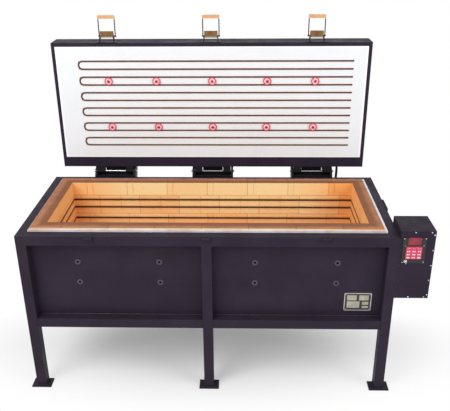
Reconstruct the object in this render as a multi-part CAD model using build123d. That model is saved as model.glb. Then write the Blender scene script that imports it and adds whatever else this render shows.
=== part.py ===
from build123d import *
import math
import os

# Glass kiln with a firebrick chest on six legs and one wide lid, in millimetres.
# X runs to the right, Y to the back, Z up. The origin is on the floor, below the middle of the
# front face. The lid is built closed and then turned open about its hinge axis.

# Overall sizes
body_width = 1840.0
body_depth = 770.0
rim_height = 896.0
shell_height = 519.0

# Frame of square tube
tube = 50.0
tube_wall = 3.0
foot_width = 103.0
foot_depth = 68.0
foot_thick = 6.0

# Panels and lining
sheet = 2.0
liner_thick = 14.0
brick_thick = 63.5
floor_thick = 63.5
course_height = 114.3
brick_length = 228.6
brick_rise = 15.0
liner_drop = 6.0
joint_width = 2.0
joint_depth = 2.5
seat_gap = 0.3

# Wall elements, two grooves in each of the upper full courses
groove_height = 12.0
groove_depth = 13.0
groove_drops = (30.0, 76.0)
groove_course_count = 2
plain_course_count = 1
element_radius = 4.5
element_bend = 14.0
tail_spread = 27.5
bushing_radius = 8.0
tail_into_box = 26.0

# Front ports
port_inner_inset = 211.0
port_outer_inset = 230.0
port_drops = (278.0, 163.0)
port_bore_radius = 6.5
port_tube_radius = 11.0
port_ring_radius = 15.5
port_ring_thick = 3.0

# Lid
lid_clear = 8.0
lid_thick = 130.0
lid_band_side = 20.0
lid_band_back = 60.0
fibre_proud = 3.0
fibre_thick = 76.0
lid_seat_gap = 0.5
wire_space_width = 150.0
backing_clear = 4.0

# Lid elements and their buttons
hairpin_count = 6
hairpin_front_inset = 98.5
hairpin_back_inset = 133.5
hairpin_left_inset = 142.0
hairpin_right_inset = 98.0
hairpin_proud = 2.5
hairpin_groove_clear = 0.3
button_left_inset = 160.0
button_right_inset = 201.0
button_inner_columns = (-303.0, 5.0, 308.0)
button_radius = 21.0
button_thick = 6.0
button_pin_radius = 4.0
button_head_radius = 7.0
button_head_thick = 3.0

# Hinges
hinge_left_inset = 348.0
hinge_right_inset = 342.0
hinge_set_back = 31.0
hinge_rise = 26.5
hinge_leaf_width = 210.0
hinge_plate = 6.0
hinge_leaf_height = 72.0
hinge_bracket_drop = 96.0
cheek_thick = 12.0
cheek_gap = 2.0
cheek_round = 18.0
stop_reach = 72.0
barrel_radius = 13.0
barrel_length = 44.0
pin_radius = 6.0
pin_fit = 0.05
pin_overhang = 7.0

# Toggle latches
latch_left_inset = 354.0
latch_right_inset = 348.0
latch_stand_off = 24.0
latch_height = 35.0
latch_arm = 15.0
latch_arm_angle = 70.0
latch_lock_angle = 64.0
latch_foot_width = 108.0
latch_foot_length = 54.0
latch_plate = 3.0
ear_inner = 36.5
ear_thick = 4.0
ear_radius = 7.5
lever_outer = 36.0
lever_length = 33.0
lever_wall = 3.0
latch_pin_radius = 3.0
latch_pin_fit = 0.05
loop_gap = 1.0
loop_wire_radius = 3.0
loop_eye_radius = 6.5
loop_eye_thick = 5.0
loop_bar_width = 19.0
loop_bar_thick = 4.0
keeper_reach = 13.0
keeper_drop = 10.0
keeper_width = 44.0
keeper_plate = 4.0
keeper_lead = 4.5
keeper_clear = 0.35
keeper_height = 26.0

# Lid supply conduit at the right of the hinges
conduit_inset = 190.0
conduit_radius = 6.0
conduit_lid_height = 60.0
conduit_body_drop = 140.0
conduit_bend = 34.0
conduit_slack = 40.0
gland_radius = 11.0
gland_length = 18.0
gland_fit = 0.3

# Control box on the right side
box_width = 165.0
box_depth = 168.0
box_rise = 36.0
box_height = 367.0
box_front = 2.0
box_sheet = 2.0
window_width = 60.0
window_foot = 9.0
window_drop = 102.0
window_front = 104.0
panel_inset = 68.0
panel_drop = 101.0
panel_width = 111.0
panel_height = 136.0
panel_thick = 3.0
display_width = 62.0
display_height = 38.0
display_rise = 49.0
display_thick = 2.0
keypad_width = 76.0
keypad_height = 66.0
keypad_drop = 12.0
keypad_thick = 1.5
switch_offset_x = -36.0
switch_offset_z = -57.0
switch_bush_radius = 6.0
switch_ball_radius = 4.0
switch_neck_radius = 2.4
switch_length = 15.0
switch_throw = 12.0
switch_fit = 0.1
switch_body = 22.0
inlet_inset = 69.0
inlet_radius = 13.0
inlet_hole_radius = 8.0
inlet_length = 9.0
terminal_inset = 120.0
terminal_foot = 40.0
terminal_length = 140.0
terminal_width = 26.0
terminal_pitch = 22.0
terminal_slot = 14.0
terminal_margin = 8.0
terminal_count = 6
transformer_inset = 50.0
transformer_width = 56.0
transformer_height = 46.0
transformer_depth = 42.0
transformer_drop = 44.0
coil_inset = 12.0
coil_rim = 6.0

# Flat plate on the outside of the right top rail
side_plate_length = 124.0
side_plate_height = 40.0
side_plate_thick = 6.0
side_plate_middle = 384.0
side_plate_rise = 5.0

# Sizes that follow from the ones above
half_width = body_width / 2
tube_inner_x = half_width - tube
tube_back_y = body_depth - tube
rail_underside = rim_height - tube
skirt_height = rim_height - shell_height
groove_courses = range(plain_course_count, plain_course_count + groove_course_count)
port_columns = (tube / 2 + port_inner_inset, tube_inner_x - port_outer_inset)
port_rows = tuple(rim_height - drop for drop in port_drops)
pan_bottom = skirt_height + tube
pan_top = pan_bottom + sheet
brick_outer = tube + liner_thick
chamber_inset = brick_outer + brick_thick
chamber_x = half_width - chamber_inset
chamber_front = chamber_inset
chamber_back = body_depth - chamber_inset
brick_top = rim_height + brick_rise
floor_top = pan_top + floor_thick
hinge_y = body_depth + hinge_set_back
hinge_z = rim_height + hinge_rise
lid_face = brick_top + lid_seat_gap
lid_flange = lid_face + fibre_proud
lid_top = lid_face + lid_thick
lid_front = tube + lid_clear
lid_half = tube_inner_x
hairpin_front = lid_front + hairpin_front_inset
hairpin_back = body_depth - hairpin_back_inset
hairpin_left = hairpin_left_inset - lid_half
hairpin_right = lid_half - hairpin_right_inset
button_columns = (hairpin_left + button_left_inset, *button_inner_columns, hairpin_right - button_right_inset)
hinge_places = (hinge_left_inset - half_width, 0.0, half_width - hinge_right_inset)
latch_places = (latch_left_inset - half_width, 0.0, half_width - latch_right_inset)
conduit_place = half_width - conduit_inset
box_top = rim_height + box_rise
box_bottom = box_top - box_height
window_bottom = box_bottom + window_foot
window_top = box_top - window_drop
panel_centre_x = half_width + panel_inset
panel_centre_z = box_top - panel_drop
inlet_place = half_width + inlet_inset
hinge_axis = Axis((0, hinge_y, hinge_z), (1, 0, 0))


def block(x0, x1, y0, y1, z0, z1):
    """Box between two corners."""
    middle = ((x0 + x1) / 2, (y0 + y1) / 2, (z0 + z1) / 2)
    return Pos(*middle) * Box(abs(x1 - x0), abs(y1 - y0), abs(z1 - z0))


def rod_x(x0, x1, y, z, radius):
    """Round bar along X."""
    return Pos((x0 + x1) / 2, y, z) * Rot(0, 90, 0) * Cylinder(radius, abs(x1 - x0))


def rod_y(x, y0, y1, z, radius):
    """Round bar along Y."""
    return Pos(x, (y0 + y1) / 2, z) * Rot(90, 0, 0) * Cylinder(radius, abs(y1 - y0))


def rod_z(x, y, z0, z1, radius):
    """Round bar along Z."""
    return Pos(x, y, (z0 + z1) / 2) * Cylinder(radius, abs(z1 - z0))


def group(shapes):
    """Separate solids that share one node."""
    solids = []
    for shape in shapes:
        solids.extend(shape.solids())
    return Compound(solids)


def side_profile(points, x0, x1):
    """Prism along X from an outline in Y and Z."""
    outline = make_face(Polyline([(0, y, z) for y, z in points], close=True))
    return Pos(x0, 0, 0) * extrude(outline, amount=x1 - x0, dir=(1, 0, 0))


def swept_rod(points, bend, radius):
    """Round rod along straight runs joined by arcs."""
    path = FilletPolyline(*points, radius=bend)
    start = path @ 0
    section = Plane(origin=start, z_dir=path % 0) * Circle(radius)
    return sweep(section, path=path)


def opened(shape):
    """Turn a piece of the closed lid up to the open position."""
    return shape.rotate(hinge_axis, -90)


# Frame

def square_tube(x0, x1, y0, y1, z0, z1, along):
    """Hollow tube with open ends, running along one axis."""
    walls = {"x": tube_wall, "y": tube_wall, "z": tube_wall}
    walls[along] = 0.0
    outer = block(x0, x1, y0, y1, z0, z1)
    bore = block(x0 + walls["x"], x1 - walls["x"], y0 + walls["y"], y1 - walls["y"],
                 z0 + walls["z"], z1 - walls["z"])
    return outer - bore


def mitre_wedge(y_outer, y_inner):
    """Footprint of a long top rail whose ends are cut at 45 degrees."""
    outline = [(-half_width, y_outer), (half_width, y_outer), (tube_inner_x, y_inner), (-tube_inner_x, y_inner)]
    face = make_face(Polyline([(x, y, rail_underside) for x, y in outline], close=True))
    return extrude(face, amount=tube, dir=(0, 0, 1))


def top_rails():
    z0, z1 = rail_underside, rim_height
    front_wedge = mitre_wedge(0, tube)
    back_wedge = mitre_wedge(body_depth, tube_back_y)
    front = square_tube(-half_width, half_width, 0, tube, z0, z1, "x") & front_wedge
    back = square_tube(-half_width, half_width, tube_back_y, body_depth, z0, z1, "x") & back_wedge
    left = square_tube(-half_width, -tube_inner_x, 0, body_depth, z0, z1, "y") - front_wedge - back_wedge
    right = square_tube(tube_inner_x, half_width, 0, body_depth, z0, z1, "y") - front_wedge - back_wedge
    return group([front, back, left, right])


def post_corners():
    """Low X and Y corner of each post."""
    places = []
    for y0 in (0.0, tube_back_y):
        for x0 in (-half_width, -tube / 2, tube_inner_x):
            places.append((x0, y0))
    return places


def legs():
    posts = []
    for x0, y0 in post_corners():
        posts.append(square_tube(x0, x0 + tube, y0, y0 + tube, foot_thick, rail_underside, "z"))
    return group(posts)


def foot_plates():
    plates = []
    for x0, y0 in post_corners():
        x, y = x0 + tube / 2, y0 + tube / 2
        outer_y = y - 5.0 if y0 == 0 else y + 5.0
        plate = block(x - foot_width / 2, x + foot_width / 2, outer_y - foot_depth / 2,
                      outer_y + foot_depth / 2, 0, foot_thick)
        plates.append(plate)
    return group(plates)


def bottom_rails():
    z0, z1 = skirt_height, pan_bottom
    rails = []
    for y0 in (0.0, tube_back_y):
        rails.append(square_tube(-tube_inner_x, -tube / 2, y0, y0 + tube, z0, z1, "x"))
        rails.append(square_tube(tube / 2, tube_inner_x, y0, y0 + tube, z0, z1, "x"))
    for x0 in (-half_width, -tube / 2, tube_inner_x):
        rails.append(square_tube(x0, x0 + tube, tube, tube_back_y, z0, z1, "y"))
    return group(rails)


# Sheet metal of the body

def floor_pan():
    """Sheet on the bottom rails that carries the brick floor."""
    rim = tube - sheet
    pan = block(-half_width + rim, half_width - rim, rim, body_depth - rim, pan_bottom, pan_top)
    for x0, y0 in post_corners():
        pan -= block(x0, x0 + tube, y0, y0 + tube, pan_bottom, pan_top)
    return pan


def port_places():
    return [(side * x, z) for side in (-1, 1) for x in port_columns for z in port_rows]


def port_holes(radius, y0, y1):
    holes = [rod_y(x, y0, y1, z, radius) for x, z in port_places()]
    return holes


def wide_panel(side, y0):
    """Recessed panel between a corner post and the middle post."""
    x0, x1 = sorted((side * tube / 2, side * tube_inner_x))
    return block(x0, x1, y0, y0 + sheet, pan_top, rail_underside)


def front_panel(side):
    panel = wide_panel(side, tube - sheet)
    for hole in port_holes(port_tube_radius + seat_gap, 0, tube + sheet):
        panel -= hole
    return panel


def end_panel(side):
    x0, x1 = sorted((side * tube_inner_x, side * (tube_inner_x + sheet)))
    panel = block(x0, x1, tube, tube_back_y, pan_top, rail_underside)
    if side > 0:
        for x, y, z in element_tails():
            panel -= rod_x(x0 - 1, x1 + 1, y, z, bushing_radius + seat_gap)
        panel -= rod_x(x0 - 1, x1 + 1, thermocouple_y, thermocouple_z, thermocouple_tube + seat_gap)
    return panel


# Brick lining

def course_levels():
    """Heights of the bed joints, from the floor to the rim."""
    levels = [floor_top + course_height * index for index in range(4)]
    return levels + [brick_top]


def groove_levels():
    """Middle heights of the element grooves."""
    levels = course_levels()
    middles = []
    for course in groove_courses:
        for drop in groove_drops:
            middles.append(levels[course + 1] - drop)
    return middles


def element_ring():
    """Half width, front and back of the path that the wall elements follow."""
    inset = element_radius + 2.0
    return chamber_x + inset, chamber_front - inset, chamber_back + inset


tail_end = half_width + tail_into_box
thermocouple_tube = 6.0
thermocouple_reach = 36.0
thermocouple_y = chamber_front + 18.0
thermocouple_z = floor_top + course_height - 17.0


def element_tails():
    """End points of the element tails outside the right wall."""
    ring_x, ring_front, ring_back = element_ring()
    tails = []
    for z in groove_levels():
        tails.append((tail_end, ring_front, z))
        tails.append((tail_end, ring_front + tail_spread, z))
    return tails


def wall_elements():
    """One open ring of element in each groove, with both tails leaving to the right."""
    ring_x, ring_front, ring_back = element_ring()
    rings = []
    for z in groove_levels():
        points = [
            (tail_end, ring_front, z),
            (-ring_x, ring_front, z),
            (-ring_x, ring_back, z),
            (ring_x, ring_back, z),
            (ring_x, ring_front + tail_spread, z),
            (tail_end, ring_front + tail_spread, z),
        ]
        rings.append(swept_rod(points, element_bend, element_radius))
    return group(rings)


def groove_cutter():
    """Ring-shaped grooves round the chamber."""
    ring = []
    for z in groove_levels():
        low = z - element_radius - seat_gap
        outer = block(-chamber_x - groove_depth, chamber_x + groove_depth, chamber_front - groove_depth,
                      chamber_back + groove_depth, low, low + groove_height)
        ring.append(outer)
    return ring


def brick_course(x0, x1, y0, y1, index):
    """One course of a wall, as long as the wall."""
    levels = course_levels()
    return block(x0, x1, y0, y1, levels[index], levels[index + 1])


def butt_joints_long(y_face, inward, index):
    """Shallow slots where bricks of one course meet, on a front or back wall."""
    levels = course_levels()
    slots = []
    step = brick_length
    x = -chamber_x + step * (0.5 if index % 2 else 0.18)
    while x < chamber_x - step * 0.1:
        slot = block(x - joint_width / 2, x + joint_width / 2, y_face - joint_depth, y_face + joint_depth,
                     levels[index], levels[index + 1])
        slots.append(slot)
        x += step
    return slots


def long_wall(y0, y1, y_face, inward):
    courses = []
    for index in range(4):
        course = brick_course(-half_width + brick_outer, half_width - brick_outer, y0, y1, index)
        if index in groove_courses:
            for ring in groove_cutter():
                course -= ring
        for slot in butt_joints_long(y_face, inward, index):
            course -= slot
        courses.append(course)
    return courses


def front_bricks():
    courses = long_wall(brick_outer, chamber_front, chamber_front, 1)
    for hole in port_holes(port_tube_radius + seat_gap, brick_outer - 1, chamber_front + 1):
        courses = [course - hole for course in courses]
    ring_x, ring_front, ring_back = element_ring()
    for z in groove_levels():
        hole = rod_x(chamber_x, half_width, ring_front, z, bushing_radius + seat_gap)
        courses = [course - hole for course in courses]
    return group(courses)


def back_bricks():
    return group(long_wall(chamber_back, body_depth - brick_outer, chamber_back, -1))


def short_wall(side):
    x0, x1 = sorted((side * chamber_x, side * (half_width - brick_outer)))
    courses = []
    for index in range(4):
        course = brick_course(x0, x1, chamber_front, chamber_back, index)
        if index in groove_courses:
            for ring in groove_cutter():
                course -= ring
        if side > 0:
            for x, y, z in element_tails():
                course -= rod_x(x0 - 1, x1 + 1, y, z, bushing_radius + seat_gap)
            course -= rod_x(x0 - 1, x1 + 1, thermocouple_y, thermocouple_z, thermocouple_tube + seat_gap)
        courses.append(course)
    return group(courses)


def floor_bricks():
    floor = block(-half_width + brick_outer, half_width - brick_outer, brick_outer, body_depth - brick_outer,
                  pan_top, floor_top)
    x = -chamber_x + brick_length
    while x < chamber_x:
        floor -= block(x - joint_width / 2, x + joint_width / 2, chamber_front, chamber_back,
                       floor_top - joint_depth, floor_top)
        x += brick_length
    for y in (chamber_front + course_height * 1.5, chamber_front + course_height * 3.0):
        floor -= block(-chamber_x, chamber_x, y - joint_width / 2, y + joint_width / 2,
                       floor_top - joint_depth, floor_top)
    return floor


def fibre_liner():
    """Boards between the bricks and the frame, which show as a pale strip at the rim."""
    top = brick_top - liner_drop
    long_x = tube_inner_x
    front = block(-long_x, long_x, tube, brick_outer, pan_top, top)
    for hole in port_holes(port_tube_radius + seat_gap, tube - 1, brick_outer + 1):
        front -= hole
    back = block(-long_x, long_x, body_depth - brick_outer, tube_back_y, pan_top, top)
    boards = [front, back]
    for side in (-1, 1):
        x0, x1 = sorted((side * (half_width - brick_outer), side * tube_inner_x))
        board = block(x0, x1, brick_outer, body_depth - brick_outer, pan_top, top)
        if side > 0:
            for x, y, z in element_tails():
                board -= rod_x(x0 - 1, x1 + 1, y, z, bushing_radius + seat_gap)
            board -= rod_x(x0 - 1, x1 + 1, thermocouple_y, thermocouple_z, thermocouple_tube + seat_gap)
        boards.append(board)
    return group(boards)


def terminal_bushings():
    """Ceramic tubes that carry the element tails through the right wall."""
    bushings = []
    for x, y, z in element_tails():
        bore = rod_x(chamber_x, half_width + 12, y, z, element_radius + seat_gap)
        start = element_ring()[0] + element_bend + 1
        bushings.append(rod_x(start, half_width + 10, y, z, bushing_radius) - bore)
    return group(bushings)


def thermocouple():
    """Ceramic sheath through the right wall, with its terminal head in the control box."""
    sheath = rod_x(chamber_x - thermocouple_reach, half_width + 14, thermocouple_y, thermocouple_z,
                   thermocouple_tube)
    head = rod_x(half_width + 14, half_width + 34, thermocouple_y, thermocouple_z, 12)
    return sheath + head


def port_tubes():
    """Ceramic tubes through the front wall."""
    tubes = []
    for x, z in port_places():
        outer = rod_y(x, tube - sheet, chamber_front, z, port_tube_radius)
        tubes.append(outer - rod_y(x, 0, chamber_front + 1, z, port_bore_radius))
    return group(tubes)


def port_rings():
    """Bright ring flanges on the front panels."""
    rings = []
    y1 = tube - sheet
    for x, z in port_places():
        ring = rod_y(x, y1 - port_ring_thick, y1, z, port_ring_radius)
        edge = ring.edges().filter_by(GeomType.CIRCLE).group_by(Axis.Y)[0]
        ring = chamfer(edge, port_ring_thick * 0.4)
        rings.append(ring - rod_y(x, 0, tube, z, port_bore_radius))
    return group(rings)


# Lid, built closed

def lid_case():
    """Sheet case, open below, with a return flange that holds the fibre panel."""
    outer = block(-lid_half, lid_half, lid_front, body_depth, lid_flange, lid_top)
    hollow = block(-lid_half + sheet, lid_half - sheet, lid_front + sheet, body_depth - sheet,
                   lid_flange + sheet, lid_top - sheet)
    mouth = block(-lid_half + lid_band_side, lid_half - lid_band_side, lid_front + lid_band_side,
                  body_depth - lid_band_back, lid_flange - 1, lid_flange + sheet + 1)
    case = outer - hollow - mouth
    place = conduit_axis_closed()
    return case - rod_y(conduit_place, body_depth - sheet - 1, body_depth + 1, place, conduit_radius + 0.5)


def lid_fibre_panel():
    """White fibre slab that shows inside the flange, with a groove for each element leg."""
    wide = block(-lid_half + sheet, lid_half - sheet, lid_front + sheet, body_depth - sheet,
                 lid_flange + sheet, lid_face + fibre_thick)
    proud = block(-lid_half + lid_band_side, lid_half - lid_band_side, lid_front + lid_band_side,
                  body_depth - lid_band_back, lid_face, lid_flange + sheet)
    panel = wide + proud
    for y in hairpin_lines():
        panel -= hairpin_groove(y)
    for front, back in hairpin_pairs():
        panel -= block(hairpin_left, hairpin_left + element_radius * 2, front, back,
                       lid_face, hairpin_height() + element_radius + hairpin_groove_clear)
        panel -= hairpin_turn_pocket(front, back)
    for x, y in button_places():
        panel -= rod_z(x, y, lid_face - 1, lid_face + fibre_thick + 1, button_pin_radius + hairpin_groove_clear)
    for y in hairpin_lines():
        half = element_radius + hairpin_groove_clear
        panel -= rod_z(hairpin_right, y, lid_face - 1, lid_face + fibre_thick + 1, half)
        panel -= block(hairpin_right - element_bend - half, hairpin_right + half, y - half, y + half,
                       lid_face - 1, hairpin_height() + element_bend)
    return panel


def hairpin_height():
    return lid_face - hairpin_proud + element_radius


def hairpin_lines():
    step = (hairpin_back - hairpin_front) / (2 * hairpin_count - 1)
    return [hairpin_front + step * index for index in range(2 * hairpin_count)]


def hairpin_pairs():
    lines = hairpin_lines()
    return list(zip(lines[0::2], lines[1::2]))


def hairpin_groove(y):
    half = element_radius + hairpin_groove_clear
    bend = (hairpin_back - hairpin_front) / (2 * hairpin_count - 1) / 2
    return block(hairpin_left + bend, hairpin_right, y - half, y + half, lid_face - 1, hairpin_height() + half)


def hairpin_turn_pocket(front, back):
    """Round pocket for the closed end of one hairpin."""
    half = element_radius + hairpin_groove_clear
    middle = (front + back) / 2
    bend = (back - front) / 2
    return rod_z(hairpin_left + bend, middle, lid_face - 1, hairpin_height() + half, bend + half)


def lid_elements():
    """Hairpins on the fibre face, with their free ends turned up into the lid."""
    z = hairpin_height()
    pins = []
    for front, back in hairpin_pairs():
        bend = (back - front) / 2
        legs_end = hairpin_right - element_bend
        first = rod_x(hairpin_left + bend, legs_end, front, z, element_radius)
        second = rod_x(hairpin_left + bend, legs_end, back, z, element_radius)
        circle = Plane(origin=(hairpin_left + bend, front, z), z_dir=(1, 0, 0)) * Circle(element_radius)
        turn = revolve(circle, Axis((hairpin_left + bend, front + bend, z), (0, 0, 1)), -180)
        hairpin = first + second + turn
        for y in (front, back):
            end = Plane(origin=(legs_end, y, z), z_dir=(1, 0, 0)) * Circle(element_radius)
            rise = revolve(end, Axis((legs_end, y, z + element_bend), (0, 1, 0)), -90)
            tail = rod_z(hairpin_right, y, z + element_bend, lid_face + fibre_thick + 20, element_radius)
            hairpin = hairpin + rise + tail
        pins.append(hairpin)
    return group(pins)


def button_places():
    lines = hairpin_lines()
    rows = ((lines[2] + lines[3]) / 2, (lines[8] + lines[9]) / 2)
    return [(x, y) for y in rows for x in button_columns]


def lid_buttons():
    """Ceramic buttons that clamp the hairpins to the fibre, each on its own pin."""
    buttons = []
    top = lid_face - hairpin_proud - seat_gap
    for x, y in button_places():
        disc = rod_z(x, y, top - button_thick, top, button_radius)
        edge = disc.edges().filter_by(GeomType.CIRCLE).group_by(Axis.Z)[0]
        disc = chamfer(edge, button_thick * 0.3)
        hub = rod_z(x, y, top, lid_face, button_pin_radius * 2)
        buttons.append(disc + hub - rod_z(x, y, lid_face - 40, lid_face + 1, button_pin_radius))
    return group(buttons)


def button_pins():
    pins = []
    bottom = lid_face - hairpin_proud - seat_gap - button_thick
    for x, y in button_places():
        stem = rod_z(x, y, bottom, lid_face + fibre_thick + 6, button_pin_radius)
        head = rod_z(x, y, bottom - button_head_thick, bottom, button_head_radius)
        washer = rod_z(x, y, lid_face + fibre_thick + seat_gap, lid_face + fibre_thick + 4, button_radius * 0.8)
        pins.append(stem + head + washer)
    return group(pins)


def lid_backing_board():
    """Board between the fibre and the top sheet, cut short for the wiring space."""
    low = lid_face + fibre_thick + backing_clear + 2
    return block(-lid_half + sheet, lid_half - wire_space_width, lid_front + sheet, body_depth - sheet,
                 low, lid_top - sheet)


def lid_terminal_strip():
    """Ceramic strip that joins the element tails in the wiring space."""
    low = lid_face + fibre_thick
    strip = block(hairpin_right - 18, hairpin_right + 18, hairpin_front - 20, hairpin_back + 20, low, low + 14)
    for y in hairpin_lines():
        strip -= rod_z(hairpin_right, y, low - 1, low + 15, element_radius + hairpin_groove_clear)
    return strip


# Hinges

def hinge_brackets():
    """Body side: a plate on the back rail and two cheeks that also stop the lid."""
    brackets = []
    y0 = body_depth
    stop = hinge_z + hinge_set_back
    for place in hinge_places:
        half = hinge_leaf_width / 2 + cheek_gap + cheek_thick
        plate = block(place - half, place + half, y0, y0 + hinge_plate, rim_height - hinge_bracket_drop,
                      rim_height + 6)
        cheek_outline = [
            (y0, rim_height - hinge_bracket_drop),
            (y0 + 22, rim_height - hinge_bracket_drop),
            (hinge_y + stop_reach, stop - 24),
            (hinge_y + stop_reach, stop - seat_gap),
            (hinge_y + 16, stop - seat_gap),
            (hinge_y + 8, hinge_z + cheek_round - 3),
            (hinge_y - 8, hinge_z + cheek_round - 3),
            (hinge_y - cheek_round, hinge_z - 2),
            (y0, rim_height + 6),
        ]
        bracket = plate
        for x0 in (place - half, place + half - cheek_thick):
            bracket += side_profile(cheek_outline, x0, x0 + cheek_thick)
        brackets.append(bracket - rod_x(place - half - 1, place + half + 1, hinge_y, hinge_z, pin_radius))
    return group(brackets)


def hinge_leaves():
    """Lid side: a plate on the lid's back wall with two lugs round the pin."""
    leaves = []
    y0 = body_depth
    for place in hinge_places:
        half = hinge_leaf_width / 2
        low = lid_flange + 4
        leaf = block(place - half, place + half, y0, y0 + hinge_plate, low, low + hinge_leaf_height)
        for x0 in (place - half, place + half - barrel_length):
            outline = [
                (y0, low),
                (hinge_y, hinge_z - barrel_radius),
                (hinge_y, hinge_z + barrel_radius),
                (y0 + hinge_plate, low + hinge_leaf_height * 0.75),
                (y0, low + hinge_leaf_height * 0.75),
            ]
            leaf += side_profile(outline, x0, x0 + barrel_length)
            leaf += rod_x(x0, x0 + barrel_length, hinge_y, hinge_z, barrel_radius)
        leaf -= rod_x(place - half - 1, place + half + 1, hinge_y, hinge_z, pin_radius + pin_fit)
        leaves.append(leaf)
    return group(leaves)


def hinge_pins():
    pins = []
    for place in hinge_places:
        half = hinge_leaf_width / 2 + cheek_gap + cheek_thick + pin_overhang
        pins.append(rod_x(place - half, place + half, hinge_y, hinge_z, pin_radius))
    return group(pins)


# Toggle latches, built on the closed lid with the lever square to the wall

pivot_y = lid_front - latch_stand_off
pivot_z = lid_face + latch_height
catch_y = -keeper_reach
catch_z = rim_height - keeper_drop


def turned(y, z, degrees):
    """Turn a point about the lever pivot, by the right-hand rule about X."""
    angle = math.radians(degrees)
    dy, dz = y - pivot_y, z - pivot_z
    return (pivot_y + dy * math.cos(angle) - dz * math.sin(angle),
            pivot_z + dy * math.sin(angle) + dz * math.cos(angle))


arm_angle = math.radians(latch_arm_angle)
link_y = pivot_y - latch_arm * math.cos(arm_angle)
link_z = pivot_z + latch_arm * math.sin(arm_angle)
locked_y, locked_z = turned(link_y, link_z, -latch_lock_angle)
loop_reach = math.hypot(locked_y - catch_y, locked_z - catch_z)
loop_lock_angle = latch_lock_angle + math.degrees(math.atan2(locked_z - catch_z, locked_y - catch_y))
ear_outer = ear_inner + ear_thick
loop_inner = ear_outer + loop_gap
loop_middle = loop_inner + loop_eye_thick / 2
loop_outer = loop_inner + loop_eye_thick


def latch_base(place):
    """Foot plate on the lid's front wall with two ears and the lever pin's holes."""
    wall = lid_front
    half = latch_foot_width / 2
    foot = block(place - half, place + half, wall - latch_plate, wall, pivot_z - latch_foot_length / 2 - 8,
                 pivot_z + latch_foot_length / 2 - 8)
    ear_outline = [
        (wall - latch_plate, pivot_z - 24),
        (wall - latch_plate, pivot_z + 1),
        (pivot_y + 2, pivot_z + ear_radius - 0.5),
        (pivot_y - ear_radius + 1, pivot_z + 3),
        (pivot_y - ear_radius + 1, pivot_z - 3),
        (pivot_y, pivot_z - ear_radius),
        (pivot_y + 8, pivot_z - 16),
    ]
    for side in (-1, 1):
        x0, x1 = sorted((place + side * ear_inner, place + side * ear_outer))
        foot += side_profile(ear_outline, x0, x1)
        foot += rod_x(x0, x1, pivot_y, pivot_z, ear_radius)
    return foot - rod_x(place - half, place + half, pivot_y, pivot_z, latch_pin_radius)


def latch_bases():
    return group([opened(latch_base(place)) for place in latch_places])


def latch_pivots():
    """Pins that carry the levers, held in the ears of the bases."""
    pins = [rod_x(place - ear_outer, place + ear_outer, pivot_y, pivot_z, latch_pin_radius)
            for place in latch_places]
    return group([opened(pin) for pin in pins])


def latch_lever(place):
    """Channel-shaped lever with the pin that carries the loop."""
    tip = pivot_y - lever_length
    cheek_outline = [
        (pivot_y + 6, pivot_z - 5),
        (pivot_y + 6, pivot_z + 5),
        (link_y + 5, link_z + 5),
        (link_y - 6, link_z + 4),
        (tip, pivot_z + 5),
        (tip, pivot_z - 5),
    ]
    lever = block(place - lever_outer, place + lever_outer, tip, pivot_y - 4, pivot_z - 5, pivot_z - 5 + lever_wall)
    for side in (-1, 1):
        x0, x1 = sorted((place + side * (lever_outer - lever_wall), place + side * lever_outer))
        lever += side_profile(cheek_outline, x0, x1)
    lever += block(place - lever_outer, place + lever_outer, tip, tip + lever_wall, pivot_z - 5, pivot_z + 5)
    lever -= rod_x(place - lever_outer - 1, place + lever_outer + 1, pivot_y, pivot_z,
                   latch_pin_radius + latch_pin_fit)
    lever += rod_x(place - loop_outer - 3, place + loop_outer + 3, link_y, link_z, latch_pin_radius)
    return opened(lever)


def latch_loop(place):
    """Loop of two wires with an eye at one end and a wide bar at the other."""
    bar_near = link_y - loop_reach
    bar_far = bar_near - loop_bar_width
    parts = []
    for side in (-1, 1):
        x = place + side * loop_middle
        x0, x1 = sorted((place + side * loop_inner, place + side * loop_outer))
        parts.append(rod_x(x0, x1, link_y, link_z, loop_eye_radius))
        parts.append(rod_y(x, bar_far + 3, link_y - loop_eye_radius + 2, link_z, loop_wire_radius))
    bar = block(place - loop_outer, place + loop_outer, bar_far, bar_near, link_z - loop_bar_thick / 2,
                link_z + loop_bar_thick / 2)
    bar = fillet(bar.edges().filter_by(Axis.Z).group_by(Axis.Y)[0], 6.0)
    loop = bar
    for part in parts:
        loop += part
    loop -= rod_x(place - loop_outer - 1, place + loop_outer + 1, link_y, link_z, latch_pin_radius + latch_pin_fit)
    return opened(loop)


def latch_keepers():
    """Wedge-shaped hooks on the front rail, whose bearing faces are square to the loop's pull."""
    pull_y, pull_z = (locked_y - catch_y) / loop_reach, (locked_z - catch_z) / loop_reach
    face_y, face_z = catch_y + pull_y * keeper_clear, catch_z + pull_z * keeper_clear
    tip_y, tip_z = face_y - pull_z * keeper_lead, face_z + pull_y * keeper_lead
    root_step = (-keeper_plate - face_y) / pull_z
    root_z = face_z - pull_y * root_step
    top = rim_height - 2
    outline = [
        (0, top),
        (0, top - keeper_height),
        (-keeper_plate, top - keeper_height),
        (-keeper_plate, root_z),
        (tip_y, tip_z),
        (tip_y + 1.5, tip_z + 3),
        (-keeper_plate, top),
    ]
    keepers = []
    for place in latch_places:
        keepers.append(side_profile(outline, place - keeper_width / 2, place + keeper_width / 2))
    return group(keepers)


# Lid supply conduit

def conduit_axis_closed():
    """Height of the lid's gland on the closed lid."""
    return lid_face + conduit_lid_height


def opened_point(y, z):
    """Where a point of the closed lid goes when the lid stands open."""
    return hinge_y + (z - hinge_z), hinge_z - (y - hinge_y)


conduit_top_y, conduit_top_z = opened_point(body_depth, conduit_axis_closed())
conduit_foot_z = rim_height - conduit_body_drop


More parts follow.
